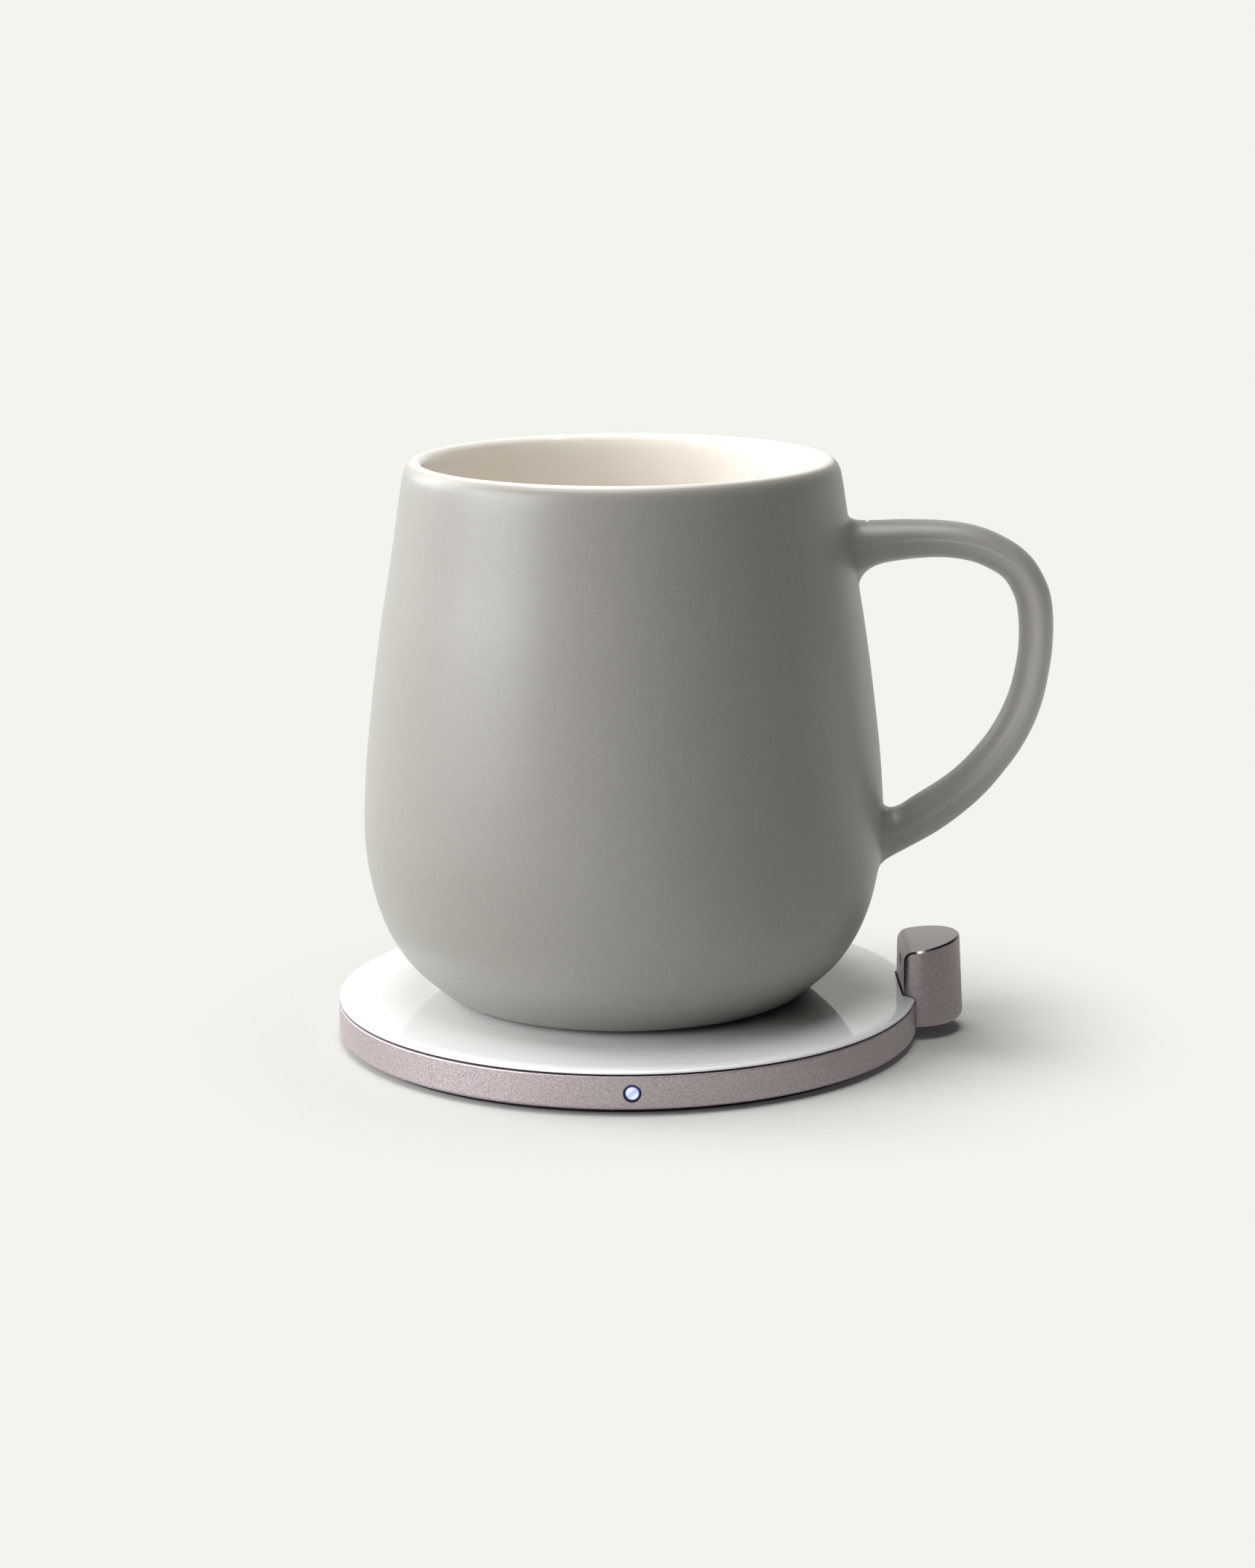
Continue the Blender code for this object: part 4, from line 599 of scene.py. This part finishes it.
pickOnly(mug)
bpy.ops.object.mode_set(mode="EDIT")
axisX = mugBody["centre"][0] * mm
halfTurn = math.radians(mugBody["rootColumns"] * 360 / mugBody["columns"])


def middleOf(face):
    # The face's middle, and the way to it from the mug's axis
    middle = face.calc_center_median()
    return middle, Vector((middle.x - axisX, middle.y, 0))


def drawInCorners(inPatch, share):
    # Draws an opening's four corners towards its middle, so that its outline runs round
    patch = [v for v in bmesh.from_edit_mesh(mug.data).verts if inPatch(v)]
    middle = sum((v.co for v in patch), Vector()) / len(patch)
    farthest = sorted(patch, key=lambda v: abs(v.co.y) + abs(v.co.z - middle.z))[-4:]
    corners = [v.index for v in farthest]
    selectWhere(mug, "verts", lambda v: v.index in corners)
    bpy.ops.transform.resize(value=(share, share, share), center_override=middle)


for low, high in mugBody["roots"]:
    low, high = (low + mugBody["level"]) * mm, (high + mugBody["level"]) * mm

    def inRoot(face):
        middle, outward = middleOf(face)
        turned = abs(math.atan2(outward.y, outward.x))
        return low < middle.z < high and turned < halfTurn and face.normal.dot(outward) > 0

    print("root faces:", selectWhere(mug, "faces", inRoot))
    drawInCorners(lambda v: v.select, mugBody["patchShare"])
    selectWhere(mug, "faces", inRoot)
    bpy.ops.mesh.inset(thickness=mugBody["rootInset"] * mm, depth=0)
    bpy.ops.mesh.delete(type="FACE")
    drawInCorners(lambda v: v.is_boundary and low - mm < v.co.z < high + mm, mugBody["cornerShare"])
bpy.ops.object.mode_set(mode="OBJECT")

bpy.ops.object.select_all(action="DESELECT")
handlePiece.select_set(True)
mug.select_set(True)
bpy.context.view_layer.objects.active = mug
bpy.ops.object.join()
bpy.ops.object.mode_set(mode="EDIT")
for upper in (True, False):
    selectWhere(mug, "edges",
                lambda edge: edge.is_boundary and (edge.verts[0].co.z > mugBody["rootSplit"] * mm) == upper)
    bpy.ops.mesh.bridge_edge_loops()
bpy.ops.mesh.select_all(action="SELECT")
bpy.ops.mesh.normals_make_consistent(inside=False)
bpy.ops.object.mode_set(mode="OBJECT")
applyModifier(mug, "SUBSURF", levels=2, render_levels=2)

# Three finishes on one fired body: grey outside, white from the lip's crest inwards, bare on the foot ring
giveFinishes(mug, greyGlaze, whiteGlaze, bareClay)
bpy.ops.object.mode_set(mode="EDIT")


def isInside(face):
    middle, outward = middleOf(face)
    facesIn = outward.length < mugBody["crest"] * mm or face.normal.dot(outward) < 0
    inWall = outward.length < mugBody["whiteReach"] * mm and middle.z > mugBody["whiteFrom"] * mm
    return facesIn and inWall and middle.x < mugBody["handleFrom"] * mm


def isFootRing(face):
    middle, outward = middleOf(face)
    low, high = mugBody["bareRing"]
    inRing = low * mm < outward.length < high * mm
    return inRing and middle.z < (mugBody["level"] + mugBody["bareHeight"]) * mm


for test, index in ((isInside, 1), (isFootRing, 2)):
    selectWhere(mug, "faces", test)
    mug.active_material_index = index
    bpy.ops.object.material_slot_assign()
bpy.ops.object.mode_set(mode="OBJECT")
finishPiece(mug, "mug", None, ["mug_body"])

# Silicone cover in the mug's foot, with a raised bead near its rim
baseCover = {"steps": 96, "rows": [
    (0, 8.75), (20.5, 8.75), (20.9, 8.72), (21.2, 8.55), (21.6, 8.35), (22.2, 8.27), (23.0, 8.25),
    (24.5, 8.25), (24.8, 8.33), (24.9, 8.5), (24.9, 9.3), (24.8, 9.42), (24.6, 9.45), (0, 9.45),
]}
cover = turnPiece("baseCover", baseCover["rows"], baseCover["steps"], mugBody["centre"])
finishPiece(cover, "mug", paleSilicone, ["base_cover"], 40)


# Tower: a D-shaped post. A cap with the flat front, shoulder and sloped top is cut out of a lofted body

tower = {
    "centreX": 49.0,
    "backRadius": 9.1,
    "flat": 1.7,  # from the round back's axis to the flat front
    "corner": 3.3,
    "cornerEnd": 145.0,  # degrees at which a corner's arc meets the flat front, at an edge
    "backSteps": 72,
    "cornerSteps": 10,
    "bottom": 2.1,
    "hem": (1.4, 1.0),  # the height and inset of the rounding at the foot
    "hemSteps": 10,
    "frontTop": 15.15,
    "bodyTop": 19.0,
    "spare": 1.5,  # how far the body stands out in front of the cap that cuts it
    "draft": 0.6,
    "rise": 0.169,  # the top's slope from front to back
    "capSize": (20, 24, 16),
    "shoulder": 1.5,
    "shoulderSteps": 14,
    "chamfer": 0.32,
    "chamferFrom": 4.0,  # height above the table
    "chamferAngle": 25.0,  # an edge of the cap turns more than this
    "capFrom": 13.0,
    "flatArea": 20.0,  # a larger face of the cap is flat, in square mm
    "wall": 1.2,
    "roof": 1.6,
    "doorway": (4.8, 10.6, 4.9),  # through the wall to the disc
    "doorwayLevel": 3.55,
    "slotSize": (2.6, 2.0),
    "slotDepth": 4,
    "pocketSize": (3.5, 2.3),  # behind the slot, for the window
    "pocketDepth": 2,
    "pocketPlace": 1.3,
    "windowLevel": 12.0,
    "inletSize": (9.54, 3.86),
    "inletDepth": 9.1,
    "inletPlace": (52.03, 6.8, 7.92),
    "gap": 0.25,
}
hemHeight, hemInset = tower["hem"]
faceX = tower["centreX"] - tower["flat"]


def towerRing(height, inset, front, reach=0.0):
    # The plan at one height, drawn in by inset at the back and by front at the flat
    radius, flat = tower["backRadius"] - inset, tower["flat"] - front
    corner, end = tower["corner"] - inset / 2, math.radians(tower["cornerEnd"])
    cornerX = -flat - corner * math.cos(end)
    cornerY = math.sqrt((radius - corner) ** 2 - cornerX ** 2)
    turn = math.atan2(cornerY, cornerX)
    plan = []
    for i in range(1, tower["backSteps"]):
        angle = turn * (2 * i / tower["backSteps"] - 1)
        plan.append((radius * math.cos(angle), radius * math.sin(angle)))
    side = []
    for i in range(tower["cornerSteps"] + 1):
        angle = turn + (end - turn) * i / tower["cornerSteps"]
        side.append((cornerX + corner * math.cos(angle), cornerY + corner * math.sin(angle)))
    if reach:
        x, y = side[-1]
        side.append((x - reach * math.sin(end), y + reach * math.cos(end)))
    plan += side + [(x, -y) for x, y in reversed(side)]
    return [(tower["centreX"] + x, y, height) for x, y in plan]


def towerDraft(height):
    # How far the sides have drawn in at a height
    low = tower["bottom"] + hemHeight
    return tower["draft"] * max(height - low, 0) / (tower["frontTop"] - low)


def loftPiece(name, rings):
    # Rings of (x, y, height) in mm: a circle with as many corners is extruded once a ring,
    # and its corners are placed
    bpy.ops.object.select_all(action="DESELECT")
    bpy.ops.mesh.primitive_circle_add(vertices=len(rings[0]), radius=mm, fill_type="NGON")
    piece = bpy.context.active_object
    piece.name = piece.data.name = name
    bpy.ops.object.mode_set(mode="EDIT")
    bpy.ops.mesh.select_mode(type="VERT")
    for i, ring in enumerate(rings):
        if i:
            bpy.ops.mesh.extrude_region_move(TRANSFORM_OT_translate={"value": (0, 0, mm)})
        mesh = bmesh.from_edit_mesh(piece.data)
        end = next(face for face in mesh.faces if face.select)
        for loop, place in zip(end.loops, ring):
            loop.vert.co = [value * mm for value in place]
        bmesh.update_edit_mesh(piece.data)
    bpy.ops.mesh.select_all(action="SELECT")
    bpy.ops.mesh.normals_make_consistent(inside=False)
    bpy.ops.object.mode_set(mode="OBJECT")
    return piece


def towerNotch(rows):
    # The cut round the tower in a turned piece, which it passes by 1 mm at the top and the bottom
    heights = [height for radius, height in rows]
    inset = towerDraft(min(heights)) - tower["gap"]
    ends = (min(heights) - 1, max(heights) + 1)
    return loftPiece("towerNotch", [towerRing(height, inset, -tower["gap"]) for height in ends])


def slotCutter(size, depth, place, along):
    # A slot with round ends: a cylinder whose two halves are moved apart
    length, width = size
    turned = {"X": (0, math.radians(90), 0), "Y": (math.radians(90), 0, 0)}[along]
    bpy.ops.object.select_all(action="DESELECT")
    bpy.ops.mesh.primitive_cylinder_add(vertices=46, radius=width / 2 * mm, depth=depth * mm,
                                        location=[value * mm for value in place], rotation=turned)
    cutter = bpy.context.active_object
    bpy.ops.object.transform_apply(location=True, rotation=True, scale=True)
    axis = {"X": 1, "Y": 2}[along]
    spread = (length - width) / 2 * mm
    bpy.ops.object.mode_set(mode="EDIT")
    for side in (1, -1):
        selectWhere(cutter, "verts", lambda vert: side * (vert.co[axis] - place[axis] * mm) > 0)
        move = [0.0, 0.0, 0.0]
        move[axis] = side * spread
        bpy.ops.transform.translate(value=move)
    bpy.ops.object.mode_set(mode="OBJECT")
    return cutter


def boxCutter(size, place):
    bpy.ops.object.select_all(action="DESELECT")
    bpy.ops.mesh.primitive_cube_add(size=mm, location=[value * mm for value in place], scale=size)
    cutter = bpy.context.active_object
    bpy.ops.object.transform_apply(location=True, rotation=True, scale=True)
    return cutter


rings = []
for i in range(tower["hemSteps"]):
    angle = math.radians(90 * i / tower["hemSteps"])
    height = tower["bottom"] + hemHeight * (1 - math.cos(angle))
    rings.append(towerRing(height, hemInset * (1 - math.sin(angle)), 0, tower["spare"]))
for height in (tower["bottom"] + hemHeight, tower["bodyTop"]):
    rings.append(towerRing(height, towerDraft(height), 0, tower["spare"]))
towerShell = loftPiece("towerShell", rings)

# The cap's outline from the side: the flat front, the rounded shoulder and the sloped top
capLength, capWidth, capHeight = tower["capSize"]
capX, capZ = faceX + capLength / 2, tower["frontTop"] - capHeight / 2
cap = boxCutter((capLength, capWidth, capHeight), (capX, 0, capZ))
bpy.ops.object.mode_set(mode="EDIT")
selectWhere(cap, "verts", lambda v: v.co.z > capZ * mm and v.co.x > capX * mm)
bpy.ops.transform.translate(value=(0, 0, capLength * tower["rise"] * mm))
selectWhere(cap, "edges", lambda edge: all(v.co.z > capZ * mm and v.co.x < capX * mm for v in edge.verts))
bpy.ops.mesh.bevel(offset=tower["shoulder"] * mm, segments=tower["shoulderSteps"], affect="EDGES")
bpy.ops.object.mode_set(mode="OBJECT")
applyModifier(towerShell, "BOOLEAN", operation="INTERSECT", solver="EXACT", object=cap)
bpy.data.objects.remove(cap, do_unlink=True)

# A narrow chamfer runs all round the cap
giveFinishes(towerShell, anodised, fineAnodised, polishedAnodised)
pickOnly(towerShell)
bpy.ops.object.mode_set(mode="EDIT")


def isCapBorder(edge):
    middle = (edge.verts[0].co + edge.verts[1].co) / 2
    turns = edge.calc_face_angle(0) > math.radians(tower["chamferAngle"])
    return turns and middle.z > tower["chamferFrom"] * mm


print("cap border edges:", selectWhere(towerShell, "edges", isCapBorder))
bpy.ops.mesh.bevel(offset=tower["chamfer"] * mm, segments=1, affect="EDGES", material=2)
bpy.ops.object.mode_set(mode="OBJECT")

cavity = loftPiece("towerCavity", [
    towerRing(height, tower["draft"] + tower["wall"], tower["wall"])
    for height in (tower["bottom"] - 1, tower["frontTop"] - tower["roof"])
])
doorway = boxCutter(tower["doorway"], (faceX, 0, tower["doorwayLevel"]))
slot = slotCutter(tower["slotSize"], tower["slotDepth"], (faceX, 0, tower["windowLevel"]), "X")
pocketPlace = (faceX + tower["pocketPlace"], 0, tower["windowLevel"])
pocket = slotCutter(tower["pocketSize"], tower["pocketDepth"], pocketPlace, "X")
inlet = slotCutter(tower["inletSize"], tower["inletDepth"], tower["inletPlace"], "Y")
cutAway(towerShell, cavity, doorway, slot, pocket, inlet)


def isCap(face):
    # Outside, and facing up or to the front but to no side
    middle = face.calc_center_median()
    outside = middle.z > tower["capFrom"] * mm or middle.x < (faceX + 0.1) * mm
    return outside and abs(face.normal.y) < 0.02 and (face.normal.z > 0.05 or face.normal.x < -0.9)


pickOnly(towerShell)
bpy.ops.object.mode_set(mode="EDIT")
print("cap faces:", selectWhere(towerShell, "faces", isCap))
towerShell.active_material_index = 1
bpy.ops.object.material_slot_assign()
# The flat faces get a sharp border, so that they reflect as flat ones
selectWhere(towerShell, "faces",
            lambda face: isCap(face) and face.calc_area() > tower["flatArea"] * mm * mm)
bpy.ops.mesh.region_to_loop()
bpy.ops.mesh.mark_sharp()
bpy.ops.object.mode_set(mode="OBJECT")
finishPiece(towerShell, "warmer", None, ["tower_shell"], 14)


# Disc: foot pad, side ring, glass with its gasket line, and the status light

disc = {
    "steps": 256,
    # (radius, height) above the table
    "pad": [
        (0, 0.25), (30, 0.25), (30.3, 0.1), (30.6, 0), (44.5, 0), (44.8, 0.18), (45.4, 0.18), (45.7, 0),
        (47.6, 0), (47.9, 0.08), (48.0, 0.25), (48.0, 1.0), (0, 1.0),
    ],
    "ring": [
        (50.0, 6.35), (50.0, 1.65), (50.0, 1.5), (49.93, 1.28), (49.75, 1.1), (49.5, 1.0), (48.4, 1.0),
        (48.4, 5.1), (46.0, 5.1), (46.0, 5.65), (48.4, 5.7), (48.4, 6.6), (49.86, 6.6), (49.93, 6.57),
        (49.975, 6.52), (50.0, 6.45),
    ],
    "gasket": [(3.2, 6.65), (49.35, 6.65), (49.4, 6.7), (49.4, 6.83), (49.35, 6.87), (3.2, 6.87)],
    "glass": [(0, 6.9), (49.62, 6.9), (49.74, 6.93), (49.8, 7.0)],
    "glassEdge": (1.9, 0.6),  # the width and height of the rounding at the top
    "glassEdgeSteps": 14,
    "glassTop": 7.7,
    "glassFlat": 47.0,  # a row on the flat top, which keeps it flat up to the rounding
    "notchFrom": 38.0,  # the notch lies beyond this x
    "notchEdge": 0.2,
}
light = {
    "steps": 48,
    "level": 3.8,  # height of its middle above the table
    "hole": 1.5,
    "holeDepth": 6,
    "holePlace": -49,
    # (radius, distance from the disc's middle)
    "lens": [
        (0, 46.8), (1.15, 46.8), (1.15, 49.7), (1.1, 49.8), (0.95, 49.89), (0.7, 49.95), (0.35, 49.99),
        (0, 50.0),
    ],
    "bezel": [(1.2, 48.4), (1.45, 48.4), (1.45, 49.78), (1.4, 49.85), (1.26, 49.85), (1.2, 49.78)],
}

pad = turnPiece("footPad", disc["pad"], disc["steps"])
finishPiece(pad, "warmer", blackSilicone, ["foot_pad"], 35)

ring = turnPiece("sideRing", disc["ring"], disc["steps"], closed=True)
bpy.ops.mesh.primitive_cylinder_add(
    vertices=light["steps"], radius=light["hole"] * mm, depth=light["holeDepth"] * mm,
    location=(0, light["holePlace"] * mm, light["level"] * mm), rotation=(math.radians(90), 0, 0),
)
lightHole = bpy.context.active_object
cutAway(ring, lightHole, towerNotch(disc["ring"]))
finishPiece(ring, "warmer", anodised, ["side_ring"], 32)

gasket = turnPiece("glassGasket", disc["gasket"], disc["steps"], closed=True)
cutAway(gasket, towerNotch(disc["gasket"]))
finishPiece(gasket, "warmer", blackSilicone, ["glass_adhesive"], 35)

rows = list(disc["glass"])
top, glassRadius = disc["glassTop"], rows[-1][0]
edgeWidth, edgeHeight = disc["glassEdge"]
for i in range(disc["glassEdgeSteps"] + 1):
    angle = math.radians(90 * i / disc["glassEdgeSteps"])
    rows.append((glassRadius - edgeWidth * (1 - math.cos(angle)), top - edgeHeight * (1 - math.sin(angle))))
rows += [(disc["glassFlat"], top), (0, top)]
glass = turnPiece("glassTop", rows, disc["steps"])
cutAway(glass, towerNotch(rows))
bpy.ops.object.mode_set(mode="EDIT")


def isNotchEdge(edge):
    # Between the flat top and the notch's upright side
    ends = [vert.co for vert in edge.verts]
    onTop = all(abs(end.z - top * mm) < 0.001 * mm for end in ends)
    atNotch = (ends[0].x + ends[1].x) / 2 > disc["notchFrom"] * mm
    sides = [face.normal.z for face in edge.link_faces]
    return onTop and atNotch and len(sides) == 2 and min(sides) < 0.5 and max(sides) > 0.9


print("notch edges:", selectWhere(glass, "edges", isNotchEdge))
bpy.ops.mesh.bevel(offset=disc["notchEdge"] * mm, segments=3, affect="EDGES")
bpy.ops.object.mode_set(mode="OBJECT")
finishPiece(glass, "warmer", whiteGlass, ["glass_top"], 12)

lens = turnPiece("lightLens", light["lens"], light["steps"])
towardFront(lens, light["level"])
finishPiece(lens, "warmer", litLens, ["light_lens"], 40)
bezel = turnPiece("lightBezel", light["bezel"], light["steps"], closed=True)
towardFront(bezel, light["level"])
finishPiece(bezel, "warmer", blackPlastic, ["light_bezel"], 35)


# CAD nodes that stay: each gets the finish of its material slot

finishes = {
    "grey_glaze": greyGlaze,
    "white_glass": whiteGlass,
    "mauve_metal": anodised,
    "black_plastic": blackPlastic,
    "black_silicone": blackSilicone,
    "white_plastic": whitePlastic,
    "lit_lens": litLens,
    "green_board": greenBoard,
    "black_epoxy": blackEpoxy,
    "copper": copperWire,
    "tin": brightTin,
    "steel": zincSteel,
    "ferrite": ferriteTile,
    "tan_ceramic": tanCeramic,
    "silver_film": silverFilm,
    "amber_film": amberFilm,
    "pale_silicone": paleSilicone,
    "smoked_glass": smokedGlass,
}
for subpart in frame["record"]["subparts"]:
    giveFinishes(nodes[subpart["node"]], finishes[subpart["material_slot"]])
print("CAD nodes finished")
